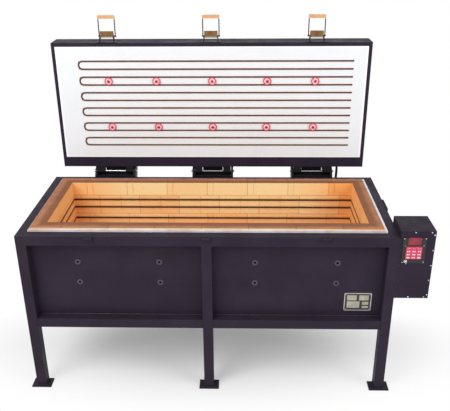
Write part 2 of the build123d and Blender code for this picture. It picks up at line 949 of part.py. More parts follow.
def conduit_points():
    top = conduit_top_z - gland_length + 4
    foot = body_depth + gland_length - 4
    return [
        (conduit_place, conduit_top_y, top),
        (conduit_place + 2, conduit_top_y + 2, top - 48),
        (conduit_place - 3, conduit_top_y + 8, conduit_foot_z + 46),
        (conduit_place - 2, conduit_top_y - 8, conduit_foot_z),
        (conduit_place, foot, conduit_foot_z),
    ]


def lid_conduit():
    """Flexible conduit from the lid's gland down to the gland on the back panel."""
    points = [Vector(*point) for point in conduit_points()]
    radii = []
    for before, corner, after in zip(points, points[1:], points[2:]):
        first, second = corner - before, after - corner
        turn = first.get_angle(second)
        short = min(first.length, second.length)
        radii.append(0.45 * short / math.tan(math.radians(turn) / 2))
    path = FilletPolyline(*points, radius=radii)
    section = Plane(origin=path @ 0, z_dir=path % 0) * Circle(conduit_radius)
    return sweep(section, path=path)


def conduit_gland(hole_radius):
    """Hexagonal gland with a round collar, standing on the XY plane."""
    nut = extrude(RegularPolygon(gland_radius * 1.25, 6), amount=gland_length * 0.4)
    collar = Pos(0, 0, gland_length * 0.4) * Cone(gland_radius, gland_radius * 0.8, gland_length * 0.6,
                                                   align=(Align.CENTER, Align.CENTER, Align.MIN))
    bore = Pos(0, 0, -1) * Cylinder(hole_radius, gland_length + 2, align=(Align.CENTER, Align.CENTER, Align.MIN))
    return nut + collar - bore


def lid_gland():
    shape = Pos(conduit_place, conduit_top_y, conduit_top_z) * Rot(180, 0, 0)
    return shape * conduit_gland(conduit_radius + gland_fit)


def body_gland():
    shape = Pos(conduit_place, body_depth - tube + sheet, conduit_foot_z) * Rot(-90, 0, 0)
    reach = tube - sheet
    stem = shape * (Cylinder(gland_radius * 0.8, reach, align=(Align.CENTER, Align.CENTER, Align.MIN))
                    - Cylinder(conduit_radius + gland_fit, reach * 3))
    return stem + Pos(0, reach, 0) * shape * conduit_gland(conduit_radius + gland_fit)


# Control box

def control_box_case():
    """Five-sided case that hangs on the right side, open in front."""
    x0, x1 = half_width, half_width + box_width
    y0, y1 = box_front, box_front + box_depth
    case = block(x0, x1, y0, y1, box_bottom, box_top)
    case -= block(x0 + box_sheet, x1 - box_sheet, y0 - 1, y1 - box_sheet, box_bottom + box_sheet,
                  box_top - box_sheet)
    case -= block(x0 - 1, x0 + box_sheet + 1, window_front, window_front + window_width, window_bottom,
                  window_top)
    case -= rod_z(inlet_place, box_depth / 2, box_bottom - 1, box_bottom + box_sheet + 1, inlet_radius * 0.8)
    return case


def control_box_front():
    """Front plate with the opening for the controller."""
    plate = block(half_width, half_width + box_width, 0, box_front, box_bottom, box_top)
    opening = block(panel_centre_x - panel_width / 2 + 9, panel_centre_x + panel_width / 2 - 9, -1, box_front + 1,
                    panel_centre_z - panel_height / 2 + 9, panel_centre_z + panel_height / 2 - 9)
    hole = rod_y(switch_x(), -10, 10, switch_z(), switch_bush_radius + 0.2)
    return plate - opening - hole


def box_screw_places():
    """Screws round the front plate, as X and Z."""
    inset = 7.0
    right = half_width + box_width - inset
    left = half_width + inset
    places = [(panel_centre_x, box_top - inset), (right - 14, box_top - inset), (right - 14, box_bottom + inset),
              (panel_centre_x, box_bottom + inset)]
    for step in range(5):
        z = box_bottom + 20 + (box_top - box_bottom - 40) * step / 4
        places.append((right, z))
        places.append((left, z))
    return places


def screw_head(x, y, z, radius, thick):
    """Pan head screw on a face that looks to the front."""
    head = rod_y(x, y - thick, y, z, radius)
    edge = head.edges().filter_by(GeomType.CIRCLE).group_by(Axis.Y)[0]
    return chamfer(edge, thick * 0.45)


def box_screws():
    return group([screw_head(x, 0, z, 3.6, 2.2) for x, z in box_screw_places()])


def controller_plate():
    x0, x1 = panel_centre_x - panel_width / 2, panel_centre_x + panel_width / 2
    z0, z1 = panel_centre_z - panel_height / 2, panel_centre_z + panel_height / 2
    plate = block(x0, x1, -panel_thick, 0, z0, z1)
    plate = fillet(plate.edges().filter_by(Axis.Y), 3.0)
    x, z = panel_centre_x, panel_centre_z + display_rise
    plate -= block(x - display_width / 2, x + display_width / 2, -panel_thick - 1, 1,
                   z - display_height / 2, z + display_height / 2)
    hole = rod_y(switch_x(), -10, 10, switch_z(), switch_bush_radius + 0.2)
    return plate - hole


def controller_screws():
    screws = []
    for side in (-1, 1):
        for rise in (-1, 1):
            screws.append(screw_head(panel_centre_x + side * (panel_width / 2 - 5), -panel_thick,
                                     panel_centre_z + rise * (panel_height / 2 - 5), 2.8, 1.6))
        screws.append(screw_head(panel_centre_x + side * (keypad_width / 2 + 6), -panel_thick,
                                 panel_centre_z + 26, 2.2, 1.4))
    return group(screws)


def display_window():
    """Dark red window that lies in the plate's opening."""
    x, z = panel_centre_x, panel_centre_z + display_rise
    gap = 0.2
    return block(x - display_width / 2 + gap, x + display_width / 2 - gap, -panel_thick + 0.6,
                 -panel_thick + 0.6 + display_thick, z - display_height / 2 + gap, z + display_height / 2 - gap)


def keypad():
    """Film keypad with three by four flat keys."""
    x, z = panel_centre_x, panel_centre_z - keypad_drop
    front = -panel_thick - keypad_thick
    pad = block(x - keypad_width / 2, x + keypad_width / 2, front, -panel_thick,
                z - keypad_height / 2, z + keypad_height / 2)
    pad = fillet(pad.edges().filter_by(Axis.Y), 2.5)
    pitch_x, pitch_z = keypad_width / 3, keypad_height / 4
    for column in (-1, 0, 1):
        for row in (-1.5, -0.5, 0.5, 1.5):
            key_x, key_z = x + column * pitch_x, z + row * pitch_z
            pad += block(key_x - pitch_x * 0.36, key_x + pitch_x * 0.36, front - 0.6, front,
                         key_z - pitch_z * 0.32, key_z + pitch_z * 0.32)
    return pad


def switch_x():
    return panel_centre_x + switch_offset_x


def switch_z():
    return panel_centre_z + switch_offset_z


def toggle_switch_body():
    """Threaded bush with a nut in front of the plate and the body behind it."""
    x, z = switch_x(), switch_z()
    nut_face = Plane(origin=(x, -panel_thick, z), z_dir=(0, -1, 0)) * RegularPolygon(switch_bush_radius + 3, 6)
    bush = rod_y(x, -panel_thick - 6, 6, z, switch_bush_radius) + extrude(nut_face, amount=2.5)
    bush += block(x - switch_body / 2, x + switch_body / 2, 6, 6 + switch_body, z - 8, z + 8)
    socket = Pos(x, -panel_thick - 3, z) * Sphere(switch_ball_radius + switch_fit)
    mouth = Plane(origin=(x, -panel_thick - 3, z), z_dir=(0, -1, 0)) * Circle(2.0)
    mouth = extrude(mouth, amount=12, taper=-28)
    return bush - socket - mouth


def toggle_switch_lever():
    x, z = switch_x(), switch_z()
    y = -panel_thick - 3
    ball = Pos(x, y, z) * Sphere(switch_ball_radius)
    stem = Pos(x, y, z) * Rot(90, 0, 0) * Cone(switch_neck_radius * 0.6, switch_neck_radius, switch_length,
                                               align=(Align.CENTER, Align.CENTER, Align.MIN))
    tip = Pos(x, y - switch_length, z) * Sphere(switch_neck_radius * 1.15)
    lever = ball + stem + tip
    return lever.rotate(Axis((x, y, z), (1, 0, 0)), switch_throw)


def cord_inlet():
    """Bush under the box where the supply cord would enter."""
    x, y = inlet_place, box_depth / 2
    flange = rod_z(x, y, box_bottom - inlet_length, box_bottom, inlet_radius)
    edge = flange.edges().filter_by(GeomType.CIRCLE).group_by(Axis.Z)[0]
    flange = chamfer(edge, 3.0)
    neck = rod_z(x, y, box_bottom, box_bottom + 12, inlet_radius * 0.8 - seat_gap)
    return flange + neck - rod_z(x, y, box_bottom - 20, box_bottom + 20, inlet_hole_radius)


def controller_board():
    x, z = panel_centre_x, panel_centre_z
    board = block(x - 44, x + 44, 12, 14, z - 46, z + 56)
    for side in (-1, 1):
        for rise in (-1, 1):
            board += rod_y(x + side * 40, 0, 12, z + rise * 41, 3.0)
    return board


def relays():
    """Three contactors on the back wall of the case."""
    y1 = box_front + box_depth - box_sheet
    left = half_width + 46
    blocks = []
    for index in range(3):
        z = box_bottom + 40 + index * 62
        body = block(left, left + 60, y1 - 52, y1, z, z + 50)
        body -= block(left + 8, left + 52, y1 - 53, y1 - 44, z + 8, z + 20)
        blocks.append(body)
    return group(blocks)


def terminal_block():
    y1 = box_front + box_depth - box_sheet
    left = half_width + terminal_inset
    foot = box_bottom + terminal_foot
    bar = block(left, left + terminal_width, y1 - terminal_width, y1, foot, foot + terminal_length)
    for index in range(terminal_count):
        z = foot + terminal_margin + index * terminal_pitch
        bar -= block(left - 1, left + 10, y1 - terminal_width - 1, y1 - 12, z, z + terminal_slot)
    return bar


def transformer():
    y1 = box_front + box_depth - box_sheet
    left = half_width + transformer_inset
    right = left + transformer_width
    front = y1 - transformer_depth
    top = box_top - transformer_drop
    foot = top - transformer_height
    core = block(left, right, front, y1, foot, top)
    coil = block(left + coil_inset, right - coil_inset, front - coil_inset, front, foot + coil_rim, top - coil_rim)
    return core + coil


def side_plate():
    """Flat plate on the outer face of the right top rail."""
    y0 = side_plate_middle - side_plate_length / 2
    z1 = rim_height + side_plate_rise
    plate = block(half_width, half_width + side_plate_thick, y0, y0 + side_plate_length, z1 - side_plate_height, z1)
    return chamfer(plate.edges().filter_by(Axis.X), 5.0)


def back_panel(side):
    panel = wide_panel(side, tube_back_y)
    if side > 0:
        panel -= rod_y(conduit_place, tube_back_y - 1, body_depth, conduit_foot_z, conduit_radius + 1)
    return panel


nodes = {
    "top_rails": top_rails(),
    "bottom_rails": bottom_rails(),
    "legs": legs(),
    "foot_plates": foot_plates(),
    "floor_pan": floor_pan(),
    "front_panel_left": front_panel(-1),
    "front_panel_right": front_panel(1),
    "back_panel_left": back_panel(-1),
    "back_panel_right": back_panel(1),
    "end_panel_left": end_panel(-1),
    "end_panel_right": end_panel(1),
    "fibre_liner": fibre_liner(),
    "floor_bricks": floor_bricks(),
    "front_bricks": front_bricks(),
    "back_bricks": back_bricks(),
    "left_bricks": short_wall(-1),
    "right_bricks": short_wall(1),
    "wall_elements": wall_elements(),
    "terminal_bushings": terminal_bushings(),
    "thermocouple": thermocouple(),
    "port_tubes": port_tubes(),
    "port_rings": port_rings(),
    "latch_keepers": latch_keepers(),
    "side_plate": side_plate(),
    "hinge_brackets": hinge_brackets(),
    "hinge_pins": hinge_pins(),
    "body_gland": body_gland(),
    "lid_conduit": lid_conduit(),
    "control_box_case": control_box_case(),
    "control_box_front": control_box_front(),
    "control_box_screws": box_screws(),
    "controller_plate": controller_plate(),
    "controller_screws": controller_screws(),
    "display_window": display_window(),
    "keypad": keypad(),
    "toggle_switch_body": toggle_switch_body(),
    "toggle_switch_lever": toggle_switch_lever(),
    "cord_inlet": cord_inlet(),
    "controller_board": controller_board(),
    "relays": relays(),
    "terminal_block": terminal_block(),
    "transformer": transformer(),
    "lid_case": opened(lid_case()),
    "lid_fibre_panel": opened(lid_fibre_panel()),
    "lid_elements": opened(lid_elements()),
    "lid_buttons": opened(lid_buttons()),
    "lid_button_pins": opened(button_pins()),
    "lid_backing_board": opened(lid_backing_board()),
    "lid_terminal_strip": opened(lid_terminal_strip()),
    "lid_gland": lid_gland(),
    "hinge_leaves": opened(hinge_leaves()),
    "latch_bases": latch_bases(),
    "latch_pivots": latch_pivots(),
}

for name, place in zip(("left", "middle", "right"), latch_places):
    nodes["latch_lever_" + name] = latch_lever(place)
    nodes["latch_loop_" + name] = latch_loop(place)

os.makedirs("parts", exist_ok=True)
for name, shape in nodes.items():
    export_step(shape, "parts/" + name + ".step")
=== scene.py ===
import math
from functools import reduce

import bmesh
import bpy
import numpy as np
from bpy.props import FloatProperty, FloatVectorProperty, IntProperty, PointerProperty
from mathutils import Matrix, Vector


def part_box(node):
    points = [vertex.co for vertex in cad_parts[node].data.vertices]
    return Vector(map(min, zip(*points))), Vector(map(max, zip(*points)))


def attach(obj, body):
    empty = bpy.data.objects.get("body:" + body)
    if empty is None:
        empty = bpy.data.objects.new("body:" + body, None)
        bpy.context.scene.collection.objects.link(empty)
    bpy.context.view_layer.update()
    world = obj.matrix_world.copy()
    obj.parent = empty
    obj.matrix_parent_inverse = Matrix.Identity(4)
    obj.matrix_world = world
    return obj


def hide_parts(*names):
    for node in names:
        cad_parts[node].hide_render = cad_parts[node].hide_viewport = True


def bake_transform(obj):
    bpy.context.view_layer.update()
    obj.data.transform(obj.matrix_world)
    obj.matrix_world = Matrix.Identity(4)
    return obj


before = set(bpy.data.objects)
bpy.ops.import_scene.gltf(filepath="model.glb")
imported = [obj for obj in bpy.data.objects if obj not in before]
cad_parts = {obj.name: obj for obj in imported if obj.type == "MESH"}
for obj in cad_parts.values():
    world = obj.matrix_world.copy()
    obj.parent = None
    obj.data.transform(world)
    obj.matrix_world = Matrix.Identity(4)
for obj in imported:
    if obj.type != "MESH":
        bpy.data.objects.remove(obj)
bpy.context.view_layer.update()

bl_info = {
    "name": "Glass kiln",
    "version": (1, 0, 0),
    "blender": (4, 5, 0),
    "location": "View3D > Sidebar > Glass kiln",
    "description": "Finishes and fine pieces for a long glass kiln whose lid stands open",
    "category": "Object",
}


def extent(node):
    """Lowest and highest corner of a node as arrays."""
    low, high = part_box(node)
    return np.array(low, float), np.array(high, float)


COURSE, BRICK = 0.1143, 0.2286
BRICK_THICK = 0.0635
BOND_SHIFT = 0.707
LONG_PHASE, END_PHASE = 0.7105, 0.13
CHAMBER_X = extent("back_bricks")[1][0] - BRICK_THICK
CHAMBER_FRONT = extent("front_bricks")[1][1]
CHAMBER_BACK = extent("back_bricks")[0][1]
FLOOR_TOP = extent("floor_bricks")[1][2]
RIM_TOP = extent("back_bricks")[1][2]
LID_FACE_Y = extent("lid_fibre_panel")[0][1]
TUBE = 0.05
ELEMENT_RADIUS = 0.0045
GROOVE_PITCH = 0.046
HAIRPINS = 6
BUTTON_COLUMNS = (-0.568, -0.303, 0.005, 0.308, 0.571)
HINGE_PLACES = (-0.572, 0.0, 0.578)
LATCH_SIDES = ("left", "middle", "right")


# Colours

def linear(red, green, blue):
    """Display colour, 0 to 255, as a linear colour with full alpha."""
    value = np.array([red, green, blue], float) / 255.0
    value = np.where(value <= 0.04045, value / 12.92, ((value + 0.055) / 1.055) ** 2.4)
    return (*[float(part) for part in value], 1.0)


# Settings

def colour_setting(name, description, *display):
    return FloatVectorProperty(name=name, description=description, subtype="COLOR", size=4, min=0.0, max=1.0,
                               default=linear(*display))


class KilnSettings(bpy.types.PropertyGroup):
    """Colours of the kiln's main finishes."""
    paint: colour_setting("Frame paint", "Dark paint of the frame, panels and control box", 44, 36, 50)
    lid_paint: colour_setting("Lid paint", "Dark paint of the lid's case", 42, 35, 50)
    brick: colour_setting("Brick", "Middle tone of the insulating bricks", 247, 214, 152)
    brick_dark: colour_setting("Scorched brick", "Tone of brick beside the heating elements", 176, 112, 62)
    fibre: colour_setting("Fibre", "Pale ceramic fibre of the lid and the rim", 233, 237, 241)
    brass: colour_setting("Latch plating", "Yellow plating of the latches", 240, 182, 132)


class ElementSettings(bpy.types.PropertyGroup):
    """Sizes of the wound heating elements."""
    wire: FloatProperty(
        name="Wire", description="Radius of the element wire",
        subtype="DISTANCE", unit="LENGTH", min=0.0004, max=0.002, default=0.00105)
    pitch: FloatProperty(
        name="Pitch", description="Distance from one turn of the coil to the next",
        subtype="DISTANCE", unit="LENGTH", min=0.003, max=0.02, default=0.0052)
    steps: IntProperty(
        name="Steps", description="Steps round one turn of the coil",
        min=6, max=24, default=8)


class StageSettings(bpy.types.PropertyGroup):
    """Camera and light of the stage."""
    lens: FloatProperty(
        name="Lens", description="Focal length on a 36 mm wide sensor",
        subtype="DISTANCE_CAMERA", min=20.0, max=120.0, default=50.958)
    key: FloatProperty(
        name="Key light", description="Power of the large lamp at the front left",
        subtype="POWER", min=0.0, max=2000.0, default=150.0)
    fill: FloatProperty(
        name="Fill light", description="Power of the large lamp at the right",
        subtype="POWER", min=0.0, max=2000.0, default=60.0)
    sky: FloatProperty(
        name="Room light", description="Strength of the even light of the room",
        min=0.0, max=2.0, default=0.62)


# Mesh tools

def grid_faces(rows, columns, wrap_rows, wrap_columns):
    """Corner indices of the quads of a grid, rows by columns, joined round where asked."""
    row = np.arange(rows if wrap_rows else rows - 1)
    column = np.arange(columns if wrap_columns else columns - 1)
    r, c = np.meshgrid(row, column, indexing="ij")
    r2, c2 = (r + 1) % rows, (c + 1) % columns
    quads = np.stack([r * columns + c, r2 * columns + c, r2 * columns + c2, r * columns + c2], axis=-1)
    return quads.reshape(-1, 4)


def surface(points, wrap_rows=False, wrap_columns=False, caps=False):
    """Vertices and faces of a grid of points; caps close the first and the last row."""
    points = np.asarray(points, float)
    rows, columns = points.shape[:2]
    faces = grid_faces(rows, columns, wrap_rows, wrap_columns)
    rings = []
    if caps:
        rings = [np.arange(columns)[::-1], (rows - 1) * columns + np.arange(columns)]
    return points.reshape(-1, 3), faces, rings


def signed_volume(points, faces, rings):
    """Six times the volume inside the faces, from the triple product of each face's fan."""
    a, b, c, d = (points[faces[:, index]] for index in range(4))
    total = np.einsum("ij,ij->i", a, np.cross(b, c)).sum() + np.einsum("ij,ij->i", a, np.cross(c, d)).sum()
    for ring in rings:
        fan = points[ring]
        total += np.einsum("ij,ij->i", np.broadcast_to(fan[0], fan[1:-1].shape),
                           np.cross(fan[1:-1], fan[2:])).sum()
    return total


def make_object(name, patches, material, smooth=True):
    """One mesh object from several closed surfaces, each turned so that its faces point outwards."""
    all_points, loops, sizes = [], [], []
    offset = 0
    for points, faces, rings in patches:
        if signed_volume(points, faces, rings) < 0:
            faces = faces[:, ::-1]
            rings = [ring[::-1] for ring in rings]
        loops.append((faces + offset).ravel())
        sizes.append(np.full(len(faces), 4))
        for ring in rings:
            loops.append(ring + offset)
            sizes.append(np.array([len(ring)]))
        all_points.append(points)
        offset += len(points)
    points = np.concatenate(all_points)
    loops = np.concatenate(loops).astype(np.int32)
    sizes = np.concatenate(sizes).astype(np.int32)
    mesh = bpy.data.meshes.new(name)
    mesh.vertices.add(len(points))
    mesh.vertices.foreach_set("co", points.astype(np.float32).ravel())
    mesh.loops.add(len(loops))
    mesh.loops.foreach_set("vertex_index", loops)
    mesh.polygons.add(len(sizes))
    mesh.polygons.foreach_set("loop_start", np.concatenate([[0], np.cumsum(sizes)[:-1]]).astype(np.int32))
    mesh.polygons.foreach_set("use_smooth", np.full(len(sizes), smooth))
    mesh.update(calc_edges=True)
    mesh.validate()
    piece = bpy.data.objects.new(name, mesh)
    bpy.context.scene.collection.objects.link(piece)
    mesh.materials.append(material)
    return piece


def rounded_route(corners, bend, step):
    """Points every step along straight runs joined by arcs of one radius.

    An arc of radius r that turns by angle a starts r tan(a / 2) before its corner.
    """
    corners = [np.array(corner, float) for corner in corners]
    pieces = [corners[0][None, :]]
    for before, corner, after in zip(corners, corners[1:], corners[2:]):
        into = (corner - before) / np.linalg.norm(corner - before)
        out = (after - corner) / np.linalg.norm(after - corner)
        turn = math.acos(float(np.clip(into @ out, -1.0, 1.0)))
        inward = out - into * (into @ out)
        inward /= np.linalg.norm(inward)
        start = corner - into * bend * math.tan(turn / 2)
        angle = np.linspace(0.0, turn, 13)[:, None]
        pieces.append(start + bend * (np.sin(angle) * into + (1 - np.cos(angle)) * inward))
    pieces.append(corners[-1][None, :])
    line = np.concatenate(pieces)
    length = run_length(line)
    return resampled(line, length, max(2, int(round(length[-1] / step)) + 1))


def run_length(line):
    """Distance from the start to each point of a line."""
    return np.concatenate([[0.0], np.cumsum(np.linalg.norm(np.diff(line, axis=0), axis=1))])


def resampled(line, length, count):
    """Even points along a line, at equal shares of its length."""
    even = np.linspace(0.0, length[-1], count)
    return np.stack([np.interp(even, length, line[:, axis]) for axis in range(3)], axis=1)


def round_angles(count):
    return np.linspace(0.0, 2 * math.pi, count, endpoint=False)


def unit(vectors):
    return vectors / np.linalg.norm(vectors, axis=-1, keepdims=True)


def tube_along(line, normal, radius, sides):
    """Tube whose ring at each point is c + r (cos t n + sin t (d x n)), d being the line's direction."""
    direction = unit(np.gradient(line, axis=0))
    normal = unit(normal - direction * np.einsum("ij,ij->i", normal, direction)[:, None])
    side = np.cross(direction, normal)
    angle = round_angles(sides)
    radius = np.broadcast_to(np.asarray(radius, float), (len(line),))[:, None, None]
    across, along = np.cos(angle)[None, :, None], np.sin(angle)[None, :, None]
    ring = across * normal[:, None, :] + along * side[:, None, :]
    return surface(line[:, None, :] + radius * ring, wrap_columns=True, caps=True)


def coil_along(corners, bend, up, radius, settings):
    """Wound wire: c(s) = p(s) + R (cos f side + sin f up) with f = 2 pi s / pitch, then a thin tube on c."""
    line = rounded_route(corners, bend, settings.pitch / settings.steps)
    direction = unit(np.gradient(line, axis=0))
    up = np.broadcast_to(np.array(up, float), line.shape)
    side = unit(np.cross(direction, up))
    turns = 2 * math.pi * np.arange(len(line)) / settings.steps
    spread = np.cos(turns)[:, None] * side + np.sin(turns)[:, None] * up
    reach = radius - settings.wire
    return tube_along(line + reach * spread, spread, settings.wire, 4)


def revolved(centre, axis, across, profile, sides):
    """Surface of a profile (distance along the axis, radius) turned round the axis, closed at its ends."""
    axis, across = np.array(axis, float), np.array(across, float)
    other = np.cross(axis, across)
    profile = np.array(profile, float)
    angle = round_angles(sides)
    ring = np.cos(angle)[:, None] * across + np.sin(angle)[:, None] * other
    points = (np.array(centre, float) + profile[:, 0, None, None] * axis
              + profile[:, 1, None, None] * ring[None, :, :])
    return surface(points, wrap_columns=True, caps=True)


# Shader tools

FLOAT, COLOUR, VECTOR = "NodeSocketFloat", "NodeSocketColor", "NodeSocketVector"


class Nodes:
    """Short ways to add nodes to one tree. A value is a number, a colour or another node's socket."""

    def __init__(self, tree):
        self.tree = tree
        self.coordinates = None

    def add(self, kind, **values):
        node = self.tree.nodes.new(kind)
        for key, value in values.items():
            setattr(node, key, value)
        return node

    def feed(self, target, source):
        """Set a socket to a number or colour, or link another socket to it."""
        if isinstance(source, bpy.types.NodeSocket):
            self.tree.links.new(source, target)
        else:
            target.default_value = source

    def fill(self, node, **values):
        """Feed a node's sockets by name, with underscores for spaces."""
        for name, value in values.items():
            self.feed(node.inputs[name.replace("_", " ")], value)
        return node

    def on_piece(self, output="Object"):
        """Place on the piece itself, or the way its surface faces."""
        if self.coordinates is None:
            self.coordinates = self.add("ShaderNodeTexCoord")
        return self.coordinates.outputs[output]

    def maths(self, operation, *values, clamp=False):
        node = self.add("ShaderNodeMath", operation=operation, use_clamp=clamp)
        for socket, value in zip(node.inputs, values):
            self.feed(socket, value)
        return node.outputs[0]

    def fold(self, operation, values):
        """One operation carried through all values."""
        return reduce(lambda first, second: self.maths(operation, first, second), values)

    def times(self, *values):
        return self.fold("MULTIPLY", values)

    def minus(self, first, second):
        return self.maths("SUBTRACT", first, second)

    def away(self, value, middle):
        """Distance |value - middle|."""
        return self.maths("ABSOLUTE", self.minus(value, middle))

    def remap(self, value, low, high, to_low=0.0, to_high=1.0, smooth=False):
        kind = "SMOOTHSTEP" if smooth else "LINEAR"
        node = self.add("ShaderNodeMapRange", clamp=True, interpolation_type=kind)
        self.fill(node, Value=value, From_Min=low, From_Max=high, To_Min=to_low, To_Max=to_high)
        return node.outputs["Result"]

    def mix(self, factor, first, second):
        node = self.add("ShaderNodeMix", data_type="RGBA", clamp_result=True)
        for index, value in ((0, factor), (6, first), (7, second)):
            self.feed(node.inputs[index], value)
        return node.outputs[2]

    def noise(self, scale, detail=3.0, roughness=0.5, stretch=None, output="Fac"):
        """Cloudy pattern on the piece, drawn out where a stretch is given."""
        place = self.on_piece()
        if stretch:
            place = self.fill(self.add("ShaderNodeMapping"), Vector=place, Scale=stretch).outputs[0]
        node = self.fill(self.add("ShaderNodeTexNoise"), Vector=place, Scale=scale, Detail=detail,
                         Roughness=roughness)
        return node.outputs[output]

    def split(self, vector):
        return self.fill(self.add("ShaderNodeSeparateXYZ"), Vector=vector).outputs

    def use(self, name, **values):
        """Outputs of a shared node group, which is built at its first use."""
        group = bpy.data.node_groups.get(name) or GROUPS[name]()
        return self.fill(self.add("ShaderNodeGroup", node_tree=group), **values).outputs

    def mottle(self, first, second, scale, balance=0.5):
        return self.use("Uneven tone", Colour_A=first, Colour_B=second, Scale=scale, Balance=balance)


class Finish(Nodes):
    """A material being built round its Principled shader."""

    def __init__(self, name):
        self.material = bpy.data.materials.new(name)
        self.material.use_nodes = True
        super().__init__(self.material.node_tree)
        self.tree.nodes.clear()
        self.shader = self.add("ShaderNodeBsdfPrincipled")
        self.fill(self.add("ShaderNodeOutputMaterial"), Surface=self.shader.outputs[0])
        self.colour = None

    def set(self, **values):
        """Feed the shader's sockets; the base colour is kept for a layer on top."""
        self.colour = values.get("Base_Color", self.colour)
        self.fill(self.shader, **values)

    def bump(self, height, distance, strength, normal=None):
        node = self.fill(self.add("ShaderNodeBump"), Height=height, Distance=distance, Strength=strength)
        if normal is not None:
            self.feed(node.inputs["Normal"], normal)
        self.set(Normal=node.outputs[0])


# Shared node groups

def new_group(name, inputs, outputs):
    """Empty node group with named sockets: its nodes, what goes in and the node at its end."""
    group = bpy.data.node_groups.new(name, "ShaderNodeTree")
    for label, kind, value in inputs:
        socket = group.interface.new_socket(name=label, in_out="INPUT", socket_type=kind)
        if value is not None:
            socket.default_value = value
    for label, kind in outputs:
        group.interface.new_socket(name=label, in_out="OUTPUT", socket_type=kind)
    nodes = Nodes(group)
    return nodes, nodes.add("NodeGroupInput").outputs, nodes.add("NodeGroupOutput")


def uneven_tone():
    """Tone that wanders between two colours over large and small patches."""
    nodes, given, end = new_group(
        "Uneven tone",
        [("Colour A", COLOUR, None), ("Colour B", COLOUR, None), ("Scale", FLOAT, 6.0),
         ("Balance", FLOAT, 0.5)],
        [("Colour", COLOUR), ("Mask", FLOAT)])
    blend = nodes.maths("MULTIPLY_ADD", nodes.noise(140.0, 2.0), 0.35, nodes.noise(given["Scale"], 5.0))
    shift = nodes.minus(nodes.minus(blend, 0.17), given["Balance"])
    mask = nodes.maths("MULTIPLY_ADD", shift, 3.0, 0.5, clamp=True)
    nodes.fill(end, Colour=nodes.mix(mask, given["Colour A"], given["Colour B"]), Mask=mask)
    return nodes.tree


def edge_wear():
    """Mask of rubbed edges: where a rounded normal leaves the face's normal, broken up by noise."""
    nodes, given, end = new_group(
        "Edge wear",
        [("Width", FLOAT, 0.002), ("Amount", FLOAT, 0.5)],
        [("Mask", FLOAT), ("Normal", VECTOR)])
    rounded = nodes.fill(nodes.add("ShaderNodeBevel", samples=4), Radius=given["Width"]).outputs[0]
    dot = nodes.add("ShaderNodeVectorMath", operation="DOT_PRODUCT")
    nodes.feed(dot.inputs[0], rounded)
    nodes.feed(dot.inputs[1], nodes.add("ShaderNodeNewGeometry").outputs["Normal"])
    edge = nodes.remap(dot.outputs["Value"], 0.97, 0.80)
    chips = nodes.remap(nodes.noise(55.0, 5.0, 0.65), 0.42, 0.68)
    nodes.fill(end, Mask=nodes.times(edge, chips, given["Amount"]), Normal=rounded)
    return nodes.tree


def settled_dust():
    """Mask of settled dust: faces that look up at rest, in soft patches."""
    nodes, given, end = new_group("Settled dust", [("Amount", FLOAT, 0.3)], [("Mask", FLOAT)])
    facing = nodes.remap(nodes.split(nodes.on_piece("Normal"))[2], 0.55, 0.98)
    patches = nodes.remap(nodes.noise(9.0, 6.0, 0.6), 0.3, 0.7)
    specks = nodes.remap(nodes.noise(420.0, 1.0), 0.45, 0.62)
    cover = nodes.maths("MULTIPLY_ADD", specks, 0.5, patches)
    nodes.fill(end, Mask=nodes.maths("MULTIPLY", nodes.times(facing, cover), given["Amount"], clamp=True))
    return nodes.tree


def chamber_distance():
    """Distances that brick tones follow: outwards from the chamber, and to the nearest element."""
    nodes, _, end = new_group("Chamber distance", [], [("Outward", FLOAT), ("Groove", FLOAT)])
    x, y, z = nodes.split(nodes.on_piece())
    across = nodes.minus(nodes.maths("ABSOLUTE", x), CHAMBER_X)
    middle, half = (CHAMBER_FRONT + CHAMBER_BACK) / 2, (CHAMBER_BACK - CHAMBER_FRONT) / 2
    along = nodes.minus(nodes.away(y, middle), half)
    nearest = nodes.fold("MINIMUM", [nodes.away(z, level) for level in wall_levels()])
    nodes.fill(end, Outward=nodes.maths("MAXIMUM", across, along), Groove=nearest)
    return nodes.tree


GROUPS = {"Uneven tone": uneven_tone, "Edge wear": edge_wear, "Settled dust": settled_dust,
          "Chamber distance": chamber_distance}


# Materials

def shade(colour, factor):
    return (colour[0] * factor, colour[1] * factor, colour[2] * factor, 1.0)


def paint_finish(name, colour, roughness=0.5, wear=0.22, dust=0.012, edge=0.002):
    """Baked semi-gloss paint: fine orange peel, faint cloudiness, rubbed edges and dust on top."""
    made = Finish(name)
    tone = made.mottle(shade(colour, 0.86), shade(colour, 1.14), 5.0)
    worn = made.use("Edge wear", Width=edge, Amount=wear)
    dusty = made.use("Settled dust", Amount=dust)["Mask"]
    rubbed = made.mix(worn["Mask"], tone["Colour"], linear(96, 88, 98))
    smudge = made.remap(made.noise(14.0, 5.0, 0.6), 0.3, 0.75, roughness - 0.06, roughness + 0.16)
    made.set(Base_Color=made.mix(dusty, rubbed, linear(176, 166, 158)), Specular_IOR_Level=0.13,
             Roughness=made.maths("MULTIPLY_ADD", dusty, 0.4, smudge, clamp=True))
    made.bump(made.noise(520.0, 2.0, 0.4), 0.00012, 0.55, worn["Normal"])
    return made


